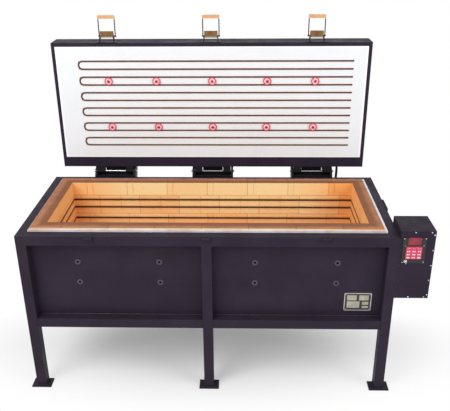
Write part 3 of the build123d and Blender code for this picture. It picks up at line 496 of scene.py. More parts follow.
def brick_courses(made, axes, phase):
    """Pattern of bricks on two axes of the piece: each brick's own tone, and the joints between them."""
    parts = made.split(made.on_piece())
    flat = made.add("ShaderNodeCombineXYZ")
    made.feed(flat.inputs[0], made.maths("ADD", parts[axes[0]], phase))
    made.feed(flat.inputs[1], made.minus(parts[axes[1]], FLOOR_TOP if axes[1] == 2 else CHAMBER_FRONT))
    waver = made.add("ShaderNodeVectorMath", operation="MULTIPLY_ADD")
    ripple = made.noise(60.0, 2.0, output="Color")
    for socket, value in zip(waver.inputs, (ripple, (0.0016, 0.0016, 0.0), flat.outputs[0])):
        made.feed(socket, value)
    bricks = made.add("ShaderNodeTexBrick", offset=BOND_SHIFT, offset_frequency=2)
    made.fill(bricks, Vector=waver.outputs[0], Color1=(0, 0, 0, 1), Color2=(1, 1, 1, 1),
              Mortar=(0.5, 0.5, 0.5, 1), Scale=1.0, Mortar_Size=0.0011, Mortar_Smooth=0.4,
              Brick_Width=BRICK, Row_Height=COURSE)
    return made.split(bricks.outputs["Color"])[0], bricks.outputs["Fac"]


def brick_finish(name, axes, phase, rim=False):
    """Insulating firebrick: one tone per brick, pores, thin joints and scorch beside the elements; painted
    shade lower in the chamber, towards its ends, in the grooves and in the pores.
    """
    made = Finish(name)
    settings = bpy.context.scene.kiln
    parts = made.split(made.on_piece())
    own, joint = brick_courses(made, axes, phase)
    ramp = made.add("ShaderNodeValToRGB")
    ramp.color_ramp.elements[0].color = linear(250, 228, 172)
    ramp.color_ramp.elements[1].color = linear(242, 188, 120)
    ramp.color_ramp.elements.new(0.5).color = tuple(settings.brick)
    made.feed(ramp.inputs[0], own)
    cloud = made.remap(made.noise(11.0, 6.0, 0.62), 0.32, 0.72)
    colour = made.mix(made.times(cloud, 0.45), ramp.outputs[0], linear(250, 224, 170))
    # painted shade: the bricks turn deeper orange lower down in the chamber and towards its ends, for how its
    # inside is lit
    depth_shade = made.remap(parts[2], RIM_TOP - 0.11, FLOOR_TOP + 0.06, 0.0, 0.75, smooth=True)
    off_middle = made.maths("ABSOLUTE", parts[0])
    end_shade = made.remap(off_middle, CHAMBER_X - 0.38, CHAMBER_X, 0.0, 0.55, smooth=True)
    colour = made.mix(made.maths("MAXIMUM", depth_shade, end_shade), colour, linear(246, 156, 68))
    distance = made.use("Chamber distance")
    scorch = made.times(made.remap(distance["Groove"], 0.024, 0.004, smooth=True),
                        made.remap(made.noise(17.0, 5.0, 0.6), 0.25, 0.7, 0.35, 1.0),
                        made.remap(distance["Outward"], 0.02, 0.0), 0.42)
    colour = made.mix(scorch, colour, tuple(settings.brick_dark))
    # painted shade: the grooves behind the coils are darkened
    groove = made.times(made.remap(distance["Outward"], 0.002, 0.010),
                        made.remap(distance["Groove"], 0.0095, 0.0065), 0.7)
    colour = made.mix(groove, colour, linear(120, 64, 30))
    if rim:
        up = made.remap(made.split(made.on_piece("Normal"))[2], 0.6, 0.9)
        colour = made.mix(up, colour, rim_colour(made, distance["Outward"], parts[axes[0]], phase))
    # painted shade: the pores are darkened as well as sunk by the bump
    pores = made.fill(made.add("ShaderNodeTexVoronoi", feature="F1"), Vector=made.on_piece(), Scale=260.0)
    pits = made.times(made.remap(pores.outputs["Distance"], 0.28, 0.12),
                      made.remap(made.noise(90.0, 2.0), 0.5, 0.62))
    colour = made.mix(made.times(pits, 0.35), colour, linear(150, 96, 56))
    colour = made.mix(made.times(joint, 0.75), colour, linear(140, 88, 48))
    made.set(Base_Color=colour, Roughness=0.93, Specular_IOR_Level=0.2)
    height = made.minus(made.noise(380.0, 3.0, 0.6), made.times(pits, 1.4))
    made.bump(made.minus(height, made.times(joint, 1.6)), 0.0007, 0.8)
    return made


def rim_colour(made, outward, along, phase):
    """Top of the bricks: darker brown towards the chamber and in sooted patches, with thin lines where two
    bricks of the top course meet.
    """
    ragged = made.maths("MULTIPLY_ADD", made.noise(26.0, 6.0, 0.6), 0.022, outward)
    inner = made.remap(ragged, 0.064, 0.034, smooth=True)
    brown = made.mix(inner, linear(178, 124, 92), linear(142, 93, 66))
    soot = made.remap(made.noise(15.0, 7.0, 0.68, stretch=(0.5, 1.0, 1.0)), 0.46, 0.74)
    brown = made.mix(made.times(soot, 0.6), brown, linear(118, 86, 72))
    shifted = made.maths("ADD", made.maths("ADD", along, phase), BRICK / 2)
    off = made.away(made.maths("FLOORED_MODULO", shifted, BRICK), BRICK / 2)
    return made.mix(made.times(made.remap(off, 0.0026, 0.0012), 0.4), brown, linear(104, 68, 50))


def fibre_finish(name, colour, tan):
    """Ceramic fibre board: matted fibres, soft dents and faint warm stains."""
    made = Finish(name)
    out = made.mottle(shade(colour, 0.955), colour, 7.0, 0.42)["Colour"]
    stain = made.remap(made.noise(8.0, 7.0, 0.65), 0.56, 0.80, 0.0, tan)
    out = made.mix(stain, out, linear(214, 178, 140))
    made.set(Base_Color=out, Roughness=0.96, Specular_IOR_Level=0.15, Sheen_Weight=0.15)
    streaks = made.noise(160.0, 4.0, 0.65, stretch=(1.0, 1.0, 3.0))
    made.bump(made.maths("MULTIPLY_ADD", made.noise(24.0), 1.4, streaks), 0.0006, 0.5)
    return made


def rim_fibre_finish():
    """Rim packing: still white at the control box's side, stained by heat at the front, left and back."""
    made = fibre_finish("Rim fibre", tuple(bpy.context.scene.kiln.fibre), tan=0.5)
    x, y, _ = made.split(made.on_piece())
    right = made.remap(x, CHAMBER_X + 0.045, CHAMBER_X + 0.075)
    front = made.remap(y, CHAMBER_FRONT - 0.055, CHAMBER_FRONT - 0.07, 0.0, 0.6)
    patches = made.remap(made.noise(9.0, 6.0, 0.65), 0.3, 0.7, -0.25, 0.25)
    clean = made.maths("ADD", made.maths("MAXIMUM", right, front), patches, clamp=True)
    made.set(Base_Color=made.mix(clean, linear(168, 122, 98), made.colour))
    return made


def lining_finish():
    """Lid lining: white fibre, tinted by heat along the element lines, with painted shade in the grooves
    behind them.
    """
    colour = tuple(bpy.context.scene.kiln.fibre)
    made = Finish("Lid lining")
    tone = made.mottle(shade(colour, 0.965), colour, 5.0, 0.4)["Colour"]
    x, y, z = made.split(made.on_piece())
    low, high = extent("lid_elements")
    step = (high[2] - low[2] - 2 * ELEMENT_RADIUS) / (2 * HAIRPINS - 1)
    along = made.maths("FLOORED_MODULO", made.minus(z, low[2] + ELEMENT_RADIUS - step / 2), step)
    ends = [made.remap(part, edge[axis] - inward * reach, edge[axis] + inward * 0.004)
            for part, axis, reach in ((z, 2, 0.006), (x, 0, 0.004)) for edge, inward in ((low, 1), (high, -1))]
    line = made.times(made.remap(made.away(along, step / 2), 0.013, 0.004, smooth=True), *ends,
                      made.remap(made.noise(21.0, 4.0, 0.6), 0.3, 0.7, 0.1, 0.45))
    tone = made.mix(line, tone, linear(226, 196, 176))
    side, bottom, top = 0.845, 1.016, 1.643
    border = made.fold("MAXIMUM", (made.remap(made.maths("ABSOLUTE", x), side - 0.007, side),
                                   made.remap(z, bottom + 0.005, bottom), made.remap(z, top - 0.005, top)))
    tone = made.mix(border, tone, linear(252, 252, 254))
    # painted shade: the lining is painted brown inside its grooves, behind the coils
    groove_shade = made.times(made.remap(y, LID_FACE_Y + 0.0012, LID_FACE_Y + 0.004), 0.8)
    made.set(Base_Color=made.mix(groove_shade, tone, linear(146, 104, 82)), Roughness=0.95, Specular_IOR_Level=0.15)
    fibres = made.noise(170.0, 4.0, 0.62, stretch=(1.0, 1.0, 2.6))
    made.bump(made.maths("MULTIPLY_ADD", made.noise(18.0), 1.6, fibres), 0.0005, 0.5)
    return made


def metal_finish(name, colour, roughness, brushed=None, dark=None, scratch=0.25, metallic=1.0):
    """Plated or bare metal: drawn scratches, uneven polish and darker tone in patches."""
    made = Finish(name)
    tone = made.mottle(colour, dark or shade(colour, 0.6), 34.0, 0.62)
    lines = made.noise(260.0, 3.0, 0.7, stretch=brushed)
    rough = made.remap(lines, 0.3, 0.7, roughness * 0.75, roughness * 1.3)
    made.set(Base_Color=tone["Colour"], Metallic=metallic,
             Roughness=made.maths("MULTIPLY_ADD", tone["Mask"], 0.12, rough, clamp=True))
    rounded = made.use("Edge wear", Width=0.0009, Amount=0.0)["Normal"]
    made.bump(lines, 0.00008, scratch, rounded)
    return made


def box_screw_finish():
    """Bright screw heads; those beside the rail are painted over."""
    made = metal_finish("Box screw steel", linear(206, 206, 210), 0.24)
    low, high = extent("control_box_front")
    middle = (low[0] + high[0]) / 2
    bare = made.remap(made.split(made.on_piece())[0], middle - 0.05, middle - 0.045)
    made.set(Base_Color=made.mix(bare, tuple(bpy.context.scene.kiln.paint), made.colour), Metallic=bare)
    return made


def loop_finish(colour):
    """Latch loop: plated bar over darker wires."""
    made = metal_finish("Latch plating", colour, 0.34, (1.0, 7.0, 1.0), shade(colour, 0.72), metallic=0.55)
    top = extent("latch_loop_middle")[1][2]
    bar = made.remap(made.split(made.on_piece())[2], top - 0.0225, top - 0.0205)
    made.set(Base_Color=made.mix(bar, linear(62, 48, 40), made.colour))
    return made


def element_finish(name, colour):
    """Oxidised resistance alloy: dull brown scale with paler worn crests."""
    made = Finish(name)
    tone = made.mottle(colour, shade(colour, 1.7), 60.0, 0.55)
    made.set(Base_Color=tone["Colour"], Metallic=0.35, Roughness=0.62)
    made.bump(made.noise(900.0, 2.0), 0.0001, 0.5)
    return made


def ceramic_finish(name, colour, roughness=0.6, tint=None):
    """Fired ceramic: slight mottling and a dull skin."""
    made = Finish(name)
    tone = made.mottle(colour, tint or shade(colour, 0.8), 40.0, 0.56)
    made.set(Base_Color=tone["Colour"], Roughness=roughness)
    made.bump(made.noise(700.0, 3.0, 0.6), 0.00015, 0.5)
    return made


def plastic_finish(name, colour, roughness, grain=650.0):
    """Moulded plastic or rubber: fine texture and smudged gloss."""
    made = Finish(name)
    tone = made.mottle(shade(colour, 0.85), shade(colour, 1.15), 30.0)
    rough = made.remap(made.noise(40.0, 4.0), 0.3, 0.7, roughness * 0.85, roughness * 1.2)
    made.set(Base_Color=tone["Colour"], Roughness=rough)
    made.bump(made.noise(grain, 2.0), 0.00008, 0.5)
    return made


def keypad_finish():
    """Printed film: white keys with red edges on a dark red ground."""
    made = Finish("Keypad film")
    low, high = extent("keypad")
    x, _, z = made.split(made.on_piece())
    pitch_x, pitch_z = (high[0] - low[0]) / 3, (high[2] - low[2]) / 4
    edges = []
    for part, start, pitch, half in ((x, low[0], pitch_x, 0.36), (z, low[2], pitch_z, 0.32)):
        off = made.away(made.maths("FLOORED_MODULO", made.minus(part, start), pitch), pitch / 2)
        edges.append(made.remap(off, pitch * half - 0.0012, pitch * half - 0.0026))
    row = made.maths("FLOOR", made.maths("DIVIDE", made.minus(z, low[2]), pitch_z))
    face = made.mix(made.remap(row, 2.4, 2.6), linear(250, 214, 224), linear(232, 120, 146))
    blotch = made.remap(made.noise(60.0), 0.35, 0.65)
    ground = made.mix(blotch, linear(188, 40, 70), linear(216, 66, 96))
    made.set(Base_Color=made.mix(made.times(*edges), ground, face),
             Roughness=made.remap(made.noise(90.0), 0.3, 0.7, 0.28, 0.42))
    made.bump(made.noise(900.0, 2.0), 0.00004, 0.5)
    return made


def lens_finish():
    """Dark red acrylic over the display."""
    made = Finish("Display lens")
    tone = made.mottle(linear(104, 8, 26), linear(158, 18, 46), 34.0)
    made.set(Base_Color=tone["Colour"], Coat_Weight=0.4,
             Roughness=made.remap(made.noise(130.0), 0.3, 0.7, 0.08, 0.16))
    return made


def coat(finish, *nodes):
    """Give carried-over nodes one finish on every slot."""
    for node in nodes:
        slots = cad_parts[node].data.materials
        if not slots:
            slots.append(finish.material)
        for index in range(len(slots)):
            slots[index] = finish.material


# Pieces

def wall_levels():
    """Heights of the four wall elements, from the node's box: pairs one groove apart."""
    low, high = extent("wall_elements")
    bottom, top = low[2] + ELEMENT_RADIUS, high[2] - ELEMENT_RADIUS
    return [bottom, bottom + GROOVE_PITCH, top - GROOVE_PITCH, top]


def hairpin_lines():
    """Heights of the straight runs of the lid's hairpins, two for each."""
    low, high = extent("lid_elements")
    return np.linspace(low[2] + ELEMENT_RADIUS, high[2] - ELEMENT_RADIUS, 2 * HAIRPINS)


class KILN_OT_finishes(bpy.types.Operator):
    """Give each carried-over piece of the kiln its finish"""
    bl_idname = "kiln.finishes"
    bl_label = "Finishes"

    def execute(self, context):
        settings = context.scene.kiln
        paint = tuple(settings.paint)
        panels = [f"{wall}_panel_{side}" for wall in ("front", "back", "end") for side in ("left", "right")]
        coat(paint_finish("Frame paint", paint), "top_rails", "bottom_rails", "legs", "foot_plates", *panels,
             "side_plate", "latch_keepers")
        coat(paint_finish("Lid paint", tuple(settings.lid_paint), wear=0.3), "lid_case")
        coat(paint_finish("Control box paint", shade(paint, 0.92), edge=0.0012), "control_box_case",
             "control_box_front")
        coat(paint_finish("Hinge paint", linear(22, 19, 25), 0.4, wear=0.25, dust=0.03, edge=0.0016),
             "hinge_brackets", "hinge_leaves", "latch_bases")
        # paint and painted highlight: the rings get a paler, glossier paint than the frame to stand for their
        # highlight
        coat(paint_finish("Port ring paint and highlight", linear(80, 70, 80), 0.34, wear=0.4, dust=0.0, edge=0.0008),
             "port_rings")
        coat(metal_finish("Galvanised sheet", linear(150, 152, 154), 0.42), "floor_pan")
        coat(rim_fibre_finish(), "fibre_liner")
        coat(fibre_finish("Backing board", linear(226, 220, 210), tan=0.3), "lid_backing_board")
        coat(lining_finish(), "lid_fibre_panel")
        coat(brick_finish("Long wall brick", (0, 2), LONG_PHASE, rim=True), "front_bricks", "back_bricks")
        coat(brick_finish("End wall brick", (1, 2), END_PHASE, rim=True), "left_bricks", "right_bricks")
        coat(brick_finish("Floor brick", (0, 1), CHAMBER_X), "floor_bricks")
        coat(element_finish("Element rod", linear(124, 86, 60)), "wall_elements", "lid_elements")
        coat(ceramic_finish("Ceramic tube", linear(226, 208, 180)), "terminal_bushings", "thermocouple",
             "lid_terminal_strip", "terminal_block")
        # painted shade: the port tubes are near black to stand for the dark inside the holes
        coat(ceramic_finish("Port hole shade", linear(26, 18, 20), 0.8, linear(44, 32, 30)), "port_tubes")
        coat(ceramic_finish("Button pin", linear(150, 38, 56), 0.5, linear(118, 30, 44)), "lid_button_pins")
        coat(metal_finish("Bright steel", linear(206, 206, 210), 0.22), "hinge_pins", "latch_pivots",
             "controller_screws", "transformer")
        coat(box_screw_finish(), "control_box_screws")
        coat(metal_finish("Chrome plate", linear(222, 224, 228), 0.10, scratch=0.12), "toggle_switch_body",
             "toggle_switch_lever")
        coat(loop_finish(tuple(settings.brass)), *[f"latch_loop_{side}" for side in LATCH_SIDES])
        coat(metal_finish("Lever plating", linear(150, 112, 72), 0.36, (7.0, 1.0, 1.0), linear(92, 66, 42),
                          metallic=0.8), *[f"latch_lever_{side}" for side in LATCH_SIDES])
        coat(plastic_finish("Black plastic", linear(30, 28, 33), 0.42), "controller_plate", "body_gland",
             "lid_gland", "cord_inlet", "relays")
        coat(plastic_finish("Black rubber", linear(26, 24, 28), 0.6), "lid_conduit")
        coat(plastic_finish("Circuit board", linear(46, 92, 60), 0.35), "controller_board")
        coat(lens_finish(), "display_window")
        coat(keypad_finish(), "keypad")
        return {"FINISHED"}


class KILN_OT_wall_coils(bpy.types.Operator):
    """Wound elements in the four grooves of the chamber walls"""
    bl_idname = "kiln.wall_coils"
    bl_label = "Wall coils"

    def execute(self, context):
        low, high = extent("wall_elements")
        left, end = low[0] + ELEMENT_RADIUS, high[0]
        front, back = low[1] + ELEMENT_RADIUS, high[1] - ELEMENT_RADIUS
        spread, bend = 0.0275, 0.014
        for index, level in enumerate(wall_levels()):
            corners = [(end, front, level), (left, front, level), (left, back, level), (-left, back, level),
                       (-left, front + spread, level), (end, front + spread, level)]
            coil = coil_along(corners, bend, (0, 0, 1), ELEMENT_RADIUS, context.scene.kiln_elements)
            piece = make_object(f"wall_coil_{index + 1}", [coil], bpy.data.materials["Element rod"])
            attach(piece, "kiln_body")
            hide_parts("wall_elements")
        return {"FINISHED"}


class KILN_OT_lid_coils(bpy.types.Operator):
    """Wound hairpin elements on the lid's lining"""
    bl_idname = "kiln.lid_coils"
    bl_label = "Lid coils"

    def execute(self, context):
        low, high = extent("lid_elements")
        level, tail = low[1] + ELEMENT_RADIUS, high[1]
        left, right = low[0] + ELEMENT_RADIUS, high[0] - ELEMENT_RADIUS
        settings = context.scene.kiln_elements
        for index, (first, second) in enumerate(hairpin_lines().reshape(-1, 2)):
            bend = (second - first) / 2 - 0.0002
            run = [(x, level, z) for x, z in ((right, first), (left, first), (left, second), (right, second))]
            patches = [coil_along(run, bend, (0, 1, 0), ELEMENT_RADIUS, settings)]
            for height in (first, second):
                patches.append(coil_along([(right, tail, height), (right, level, height)], 0.001, (1, 0, 0),
                                          ELEMENT_RADIUS, settings))
            piece = make_object(f"lid_coil_{index + 1}", patches, bpy.data.materials["Element rod"])
            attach(piece, "lid")
            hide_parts("lid_elements")
        return {"FINISHED"}


class KILN_OT_lining_islands(bpy.types.Operator):
    """Fibre left standing inside the closed end of each hairpin"""
    bl_idname = "kiln.lining_islands"
    bl_label = "Lining islands"

    def execute(self, context):
        clear, depth, sides = 0.0006, 0.0066, 96
        lines = hairpin_lines()
        bend = (lines[1] - lines[0]) / 2
        half, reach = bend - ELEMENT_RADIUS - clear, bend + ELEMENT_RADIUS
        angle = round_angles(sides)
        flat = half / np.maximum(np.abs(np.sin(angle)), 1e-6)
        size = np.where(np.cos(angle) > 0, np.minimum(flat, reach), half)
        x = extent("lid_elements")[0][0] + ELEMENT_RADIUS + bend
        patches = []
        for middle in (lines[0::2] + lines[1::2]) / 2:
            rows = [np.stack([x + (size - inset) * np.cos(angle), np.full(sides, LID_FACE_Y + level),
                              middle + (size - inset) * np.sin(angle)], axis=1)
                    for level, inset in ((depth, 0.0), (0.0005, 0.0), (0.00005, 0.0005))]
            patches.append(surface(np.stack(rows), wrap_columns=True, caps=True))
        piece = make_object("lining_islands", patches, bpy.data.materials["Lid lining"], smooth=False)
        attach(piece, "lid")
        return {"FINISHED"}


class KILN_OT_buttons(bpy.types.Operator):
    """Ceramic buttons: a dished face round a boss, inside a raised rim of round section"""
    bl_idname = "kiln.buttons"
    bl_label = "Buttons"

    def execute(self, context):
        low, high = extent("lid_buttons")
        radius, seat, sides = 0.021, high[1] - 0.0028, 40
        rim_radius, rim_round = 0.0198, 0.0026
        profile = [(-0.0028, 0.008), (0.0, 0.008), (0.0, 0.0196), (0.0030, 0.0198), (0.0036, 0.0180),
                   (0.0030, 0.0140), (0.0034, 0.0100), (0.0056, 0.0088), (0.0060, 0.0080), (0.0060, 0.0042)]
        faces, rims = [], []
        turn, section = round_angles(sides)[:, None], round_angles(12)[None, :]
        away = rim_radius + rim_round * np.cos(section)
        front = np.broadcast_to(seat - 0.0030 + rim_round * np.sin(section), (sides, 12))
        for z in (low[2] + radius, high[2] - radius):
            for x in BUTTON_COLUMNS:
                faces.append(revolved((x, seat, z), (0, -1, 0), (1, 0, 0), profile, sides))
                ring = np.stack([x + away * np.cos(turn), front, z + away * np.sin(turn)], axis=-1)
                rims.append(surface(ring, wrap_rows=True, wrap_columns=True))
        face = ceramic_finish("Button face", linear(246, 200, 208), 0.5, linear(236, 160, 172)).material
        rim = ceramic_finish("Button rim", linear(222, 66, 92), 0.45, linear(206, 48, 74)).material
        for name, patches, material in (("lid_button_faces", faces, face), ("lid_button_rims", rims, rim)):
            piece = make_object(name, patches, material)
            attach(piece, "lid")
            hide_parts("lid_buttons")
        return {"FINISHED"}


class KILN_OT_hinge_webs(bpy.types.Operator):
    """Bent plates that close each hinge bracket behind its pin"""
    bl_idname = "kiln.hinge_webs"
    bl_label = "Hinge webs"

    def execute(self, context):
        low, high = extent("hinge_pins")
        _, pin_y, pin_z = (low + high) / 2
        plate_y, plate_top, web_y = extent("legs")[1][1] + 0.0057, RIM_TOP - 0.0125, pin_y + 0.0178
        shelf = [(plate_y, plate_top), (web_y, plate_top), (web_y, pin_z - 0.002)]
        upright = [(web_y, pin_z - 0.004), (web_y, pin_z + 0.0215)]
        patches = []
        for place in HINGE_PLACES:
            patches.append(folded_plate(shelf, place, 0.1066, 0.003))
            patches.append(folded_plate(upright, place, 0.058, 0.0028))
        piece = make_object("hinge_webs", patches, bpy.data.materials["Hinge paint"], smooth=False)
        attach(piece, "kiln_body")
        return {"FINISHED"}


def folded_plate(corners, place, half, thick):
    """Plate bent along X: its middle line in Y and Z, set off by half its thickness to each side."""
    line = rounded_route([(0.0, y, z) for y, z in corners], 0.006, 0.0015)
    normal = unit(np.cross(np.gradient(line, axis=0), (1.0, 0.0, 0.0))) * thick / 2
    outline = np.concatenate([line + normal, (line - normal)[::-1]])
    rows = [outline + (place + side * half, 0.0, 0.0) for side in (-1, 1)]
    return surface(np.stack(rows), wrap_columns=True, caps=True)


class KILN_OT_conduit(bpy.types.Operator):
    """Ribbed flexible conduit from the lid's gland down to the body's gland"""
    bl_idname = "kiln.conduit"
    bl_label = "Conduit"

    def execute(self, context):
        low, high = extent("lid_conduit")
        lid_gland, body_gland = extent("lid_gland"), extent("body_gland")
        x = lid_gland[0][0] + 0.01375
        top_y, foot_z = (lid_gland[0][1] + lid_gland[1][1]) / 2, (body_gland[0][2] + body_gland[1][2]) / 2
        step, rib_pitch = 0.0011, 0.0044
        corners = np.array([(x, top_y, high[2]), (x + 0.002, top_y + 0.002, high[2] - 0.048),
                            (x - 0.003, top_y + 0.008, foot_z + 0.046), (x - 0.002, top_y - 0.008, foot_z),
                            (x, low[1], foot_z)])
        line = smooth_route(corners, step)
        length = np.arange(len(line)) * step
        free = np.clip(np.minimum(length, length[-1] - length) / 0.03, 0.0, 1.0)
        ribs = 0.0056 + 0.0014 * free + 0.0005 * np.abs(np.sin(math.pi * length / rib_pitch)) ** 0.5
        across = np.broadcast_to(np.array((1.0, 0.0, 0.0)), line.shape)
        sleeve = plastic_finish("Conduit sleeve", linear(28, 26, 30), 0.5, 900.0).material
        piece = make_object("conduit", [tube_along(line, across, ribs, 20)], sleeve)
        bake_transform(piece)
        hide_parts("lid_conduit")
        return {"FINISHED"}


def smooth_route(corners, step):
    """Even points on a quadratic curve that leaves and arrives along its end runs.

    Each inner stretch is b(t) = (1 - t)^2 m0 + 2 t (1 - t) c + t^2 m1 between middles of the runs.
    """
    middles = (corners[1:] + corners[:-1]) / 2
    middles[0], middles[-1] = corners[0], corners[-1]
    t = np.linspace(0.0, 1.0, 40)[:, None]
    runs = [(1 - t) ** 2 * start + 2 * t * (1 - t) * corner + t ** 2 * finish
            for start, corner, finish in zip(middles[:-1], corners[1:-1], middles[1:])]
    line = np.concatenate(runs)
    line = line[np.concatenate([[True], np.linalg.norm(np.diff(line, axis=0), axis=1) > 1e-7])]
    length = run_length(line)
    return resampled(line, length, int(length[-1] / step) + 1)


class KILN_OT_data_plate(bpy.types.Operator):
    """Blank data plate with a rolled border on the right front panel"""
    bl_idname = "kiln.data_plate"
    bl_label = "Data plate"

    def execute(self, context):
        centre = np.array((0.7545, extent("front_panel_right")[0][1], 0.5105))
        half = np.array((0.0685, 0.0515))
        silver = metal_finish("Plate silver", linear(206, 204, 206), 0.3, (6.0, 1.0, 1.0)).material
        dark = plastic_finish("Plate ground", linear(44, 38, 48), 0.35).material
        pale = plastic_finish("Plate fields", linear(168, 164, 146), 0.4).material
        studs = [dome(centre + (side * (half[0] - 0.009), -0.0014, rise * (half[1] - 0.009)), (0, -1, 0),
                      0.0024, 0.0012, 20) for side in (-1, 1) for rise in (-1, 1)]
        fields = [plate_patch(centre + (x, -0.0014, z), np.array((half_x, half_z)), 0.0015, 0.0003)
                  for x, z, half_x, half_z in ((-0.030, 0.024, 0.024, 0.015), (0.030, 0.024, 0.024, 0.015),
                                               (-0.022, -0.016, 0.032, 0.019), (0.038, -0.008, 0.016, 0.009),
                                               (0.038, -0.030, 0.016, 0.006))]
        plate = make_object("data_plate", [plate_patch(centre, half, 0.006, 0.0010)], silver, smooth=False)
        ground = make_object("data_plate_ground",
                             [plate_patch(centre + (0, -0.0010, 0), half - 0.0045, 0.003, 0.0004)],
                             dark, smooth=False)
        rivets = make_object("data_plate_rivets", studs, silver)
        blanks = make_object("data_plate_fields", fields, pale, smooth=False)
        for piece in (plate, ground, rivets, blanks):
            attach(piece, "kiln_body")
        return {"FINISHED"}


def plate_patch(centre, half, corner, thick):
    """Flat plate with round corners, carried from its back to its front face, whose edge is drawn in.

    The outline is q (h - r) + r (cos a, sin a): the quarter's signs q set each corner's circle of radius r.
    """
    sides, edge = 48, 0.0003
    angle = round_angles(sides)
    circle = np.stack([np.cos(angle), np.sin(angle)], axis=1)
    quarter = np.sign(circle)
    quarter[np.abs(quarter) < 0.5] = 1.0
    outline = quarter * (half - corner) + corner * circle
    rows = []
    for level, inset in ((0.0, 0.0), (edge - thick, 0.0), (-thick, edge)):
        x, z = (outline - quarter * inset).T
        rows.append(np.stack([centre[0] + x, np.full(sides, centre[1] + level), centre[2] + z], axis=1))
    return surface(np.stack(rows), wrap_columns=True, caps=True)


def dome(centre, axis, radius, height, sides):
    """Low dome: radius r cos a at height h sin a."""
    axis = np.array(axis, float)
    across = unit(np.cross(axis, (0.3, 0.5, 0.81)))
    rise = np.linspace(0.0, math.pi / 2 * 0.96, 7)
    profile = np.stack([height * np.sin(rise), radius * np.cos(rise)], axis=1)
    profile = np.concatenate([[[-0.0003, radius]], profile])
    return revolved(centre, axis, across, profile, sides)


class KILN_OT_rim_fibre(bpy.types.Operator):
    """Loose fibre packing in the gap between the bricks and the frame"""
    bl_idname = "kiln.rim_fibre"
    bl_label = "Rim fibre"

    def execute(self, context):
        low, high = extent("fibre_liner")
        inset, level = 0.007, high[2]
        left, right = low[0] + inset, high[0] - inset
        front, back = low[1] + inset, high[1] - inset
        corners = [(0.0, front), (right, front), (right, back), (left, back), (left, front), (0.0, front)]
        line = rounded_route([(x, y, level) for x, y in corners], 0.012, 0.006)[:-1]
        along = 2 * math.pi * np.arange(len(line)) / len(line)
        direction = unit(np.roll(line, -1, axis=0) - np.roll(line, 1, axis=0))
        outward = np.cross(direction, (0.0, 0.0, 1.0))
        angle = round_angles(14)
        wave = 0.45 * np.sin(37 * along) + 0.3 * np.sin(91 * along + 1.0) + 0.25 * np.sin(173 * along + 2.2)
        half_width = 0.0068 + 0.0004 * np.sin(61 * along)
        height = 0.0042 + 0.0012 * wave
        side = half_width[:, None] * np.cos(angle)
        rise = height[:, None] * np.sin(angle) * np.where(np.sin(angle) > 0, 1.0, 0.4)
        points = line[:, None, :] + side[:, :, None] * outward[:, None, :]
        points[:, :, 2] += rise
        piece = make_object("rim_fibre", [surface(points, wrap_rows=True, wrap_columns=True)],
                            bpy.data.materials["Rim fibre"])
        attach(piece, "kiln_body")
        return {"FINISHED"}


class KILN_OT_welds(bpy.types.Operator):
    """Painted weld beads where the rails and feet meet the posts"""
    bl_idname = "kiln.welds"
    bl_label = "Weld beads"

    def execute(self, context):
        low, high = extent("legs")
        rail_low, rail_high = extent("bottom_rails")[0][2] + 0.002, extent("bottom_rails")[1][2] - 0.002
        foot = extent("foot_plates")[1][2]
        patches = []
        for side, y in ((-1, low[1]), (1, high[1])):
            for x in (low[0] + TUBE, -TUBE / 2, TUBE / 2, high[0] - TUBE):
                patches.append(bead((x, y, rail_low), (x, y, rail_high), (0, side, 0)))
        for x in (low[0], -TUBE / 2, high[0] - TUBE):
            for y in (low[1], high[1] - TUBE):
                ends = [np.array((x + right * TUBE, y + back * TUBE, foot))
                        for right, back in ((0, 0), (1, 0), (1, 1), (0, 1), (0, 0))]
                middle = np.array((x + TUBE / 2, y + TUBE / 2, foot))
                for start, finish in zip(ends[:-1], ends[1:]):
                    patches.append(bead(start, finish, unit((start + finish) / 2 - middle)))
        piece = make_object("weld_beads", patches, bpy.data.materials["Frame paint"])
        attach(piece, "kiln_body")
        return {"FINISHED"}


def bead(start, finish, normal):
    """Weld bead: a low tube whose radius ripples as r (1 + 0.16 cos(2 pi s / p)) along the seam."""
    start, finish = np.array(start, float), np.array(finish, float)
    length = np.linalg.norm(finish - start)
    travel = np.linspace(0.0, 1.0, max(8, int(length / 0.0009)))
    line = start + travel[:, None] * (finish - start)
    ripple = 0.0021 * (1 + 0.16 * np.cos(2 * math.pi * travel * length / 0.0034))
    ripple = ripple * np.sqrt(np.clip(1 - (2 * travel - 1) ** 16, 0.04, 1.0))
    across = np.broadcast_to(np.array(normal, float), line.shape)
    return tube_along(line, across, ripple, 10)


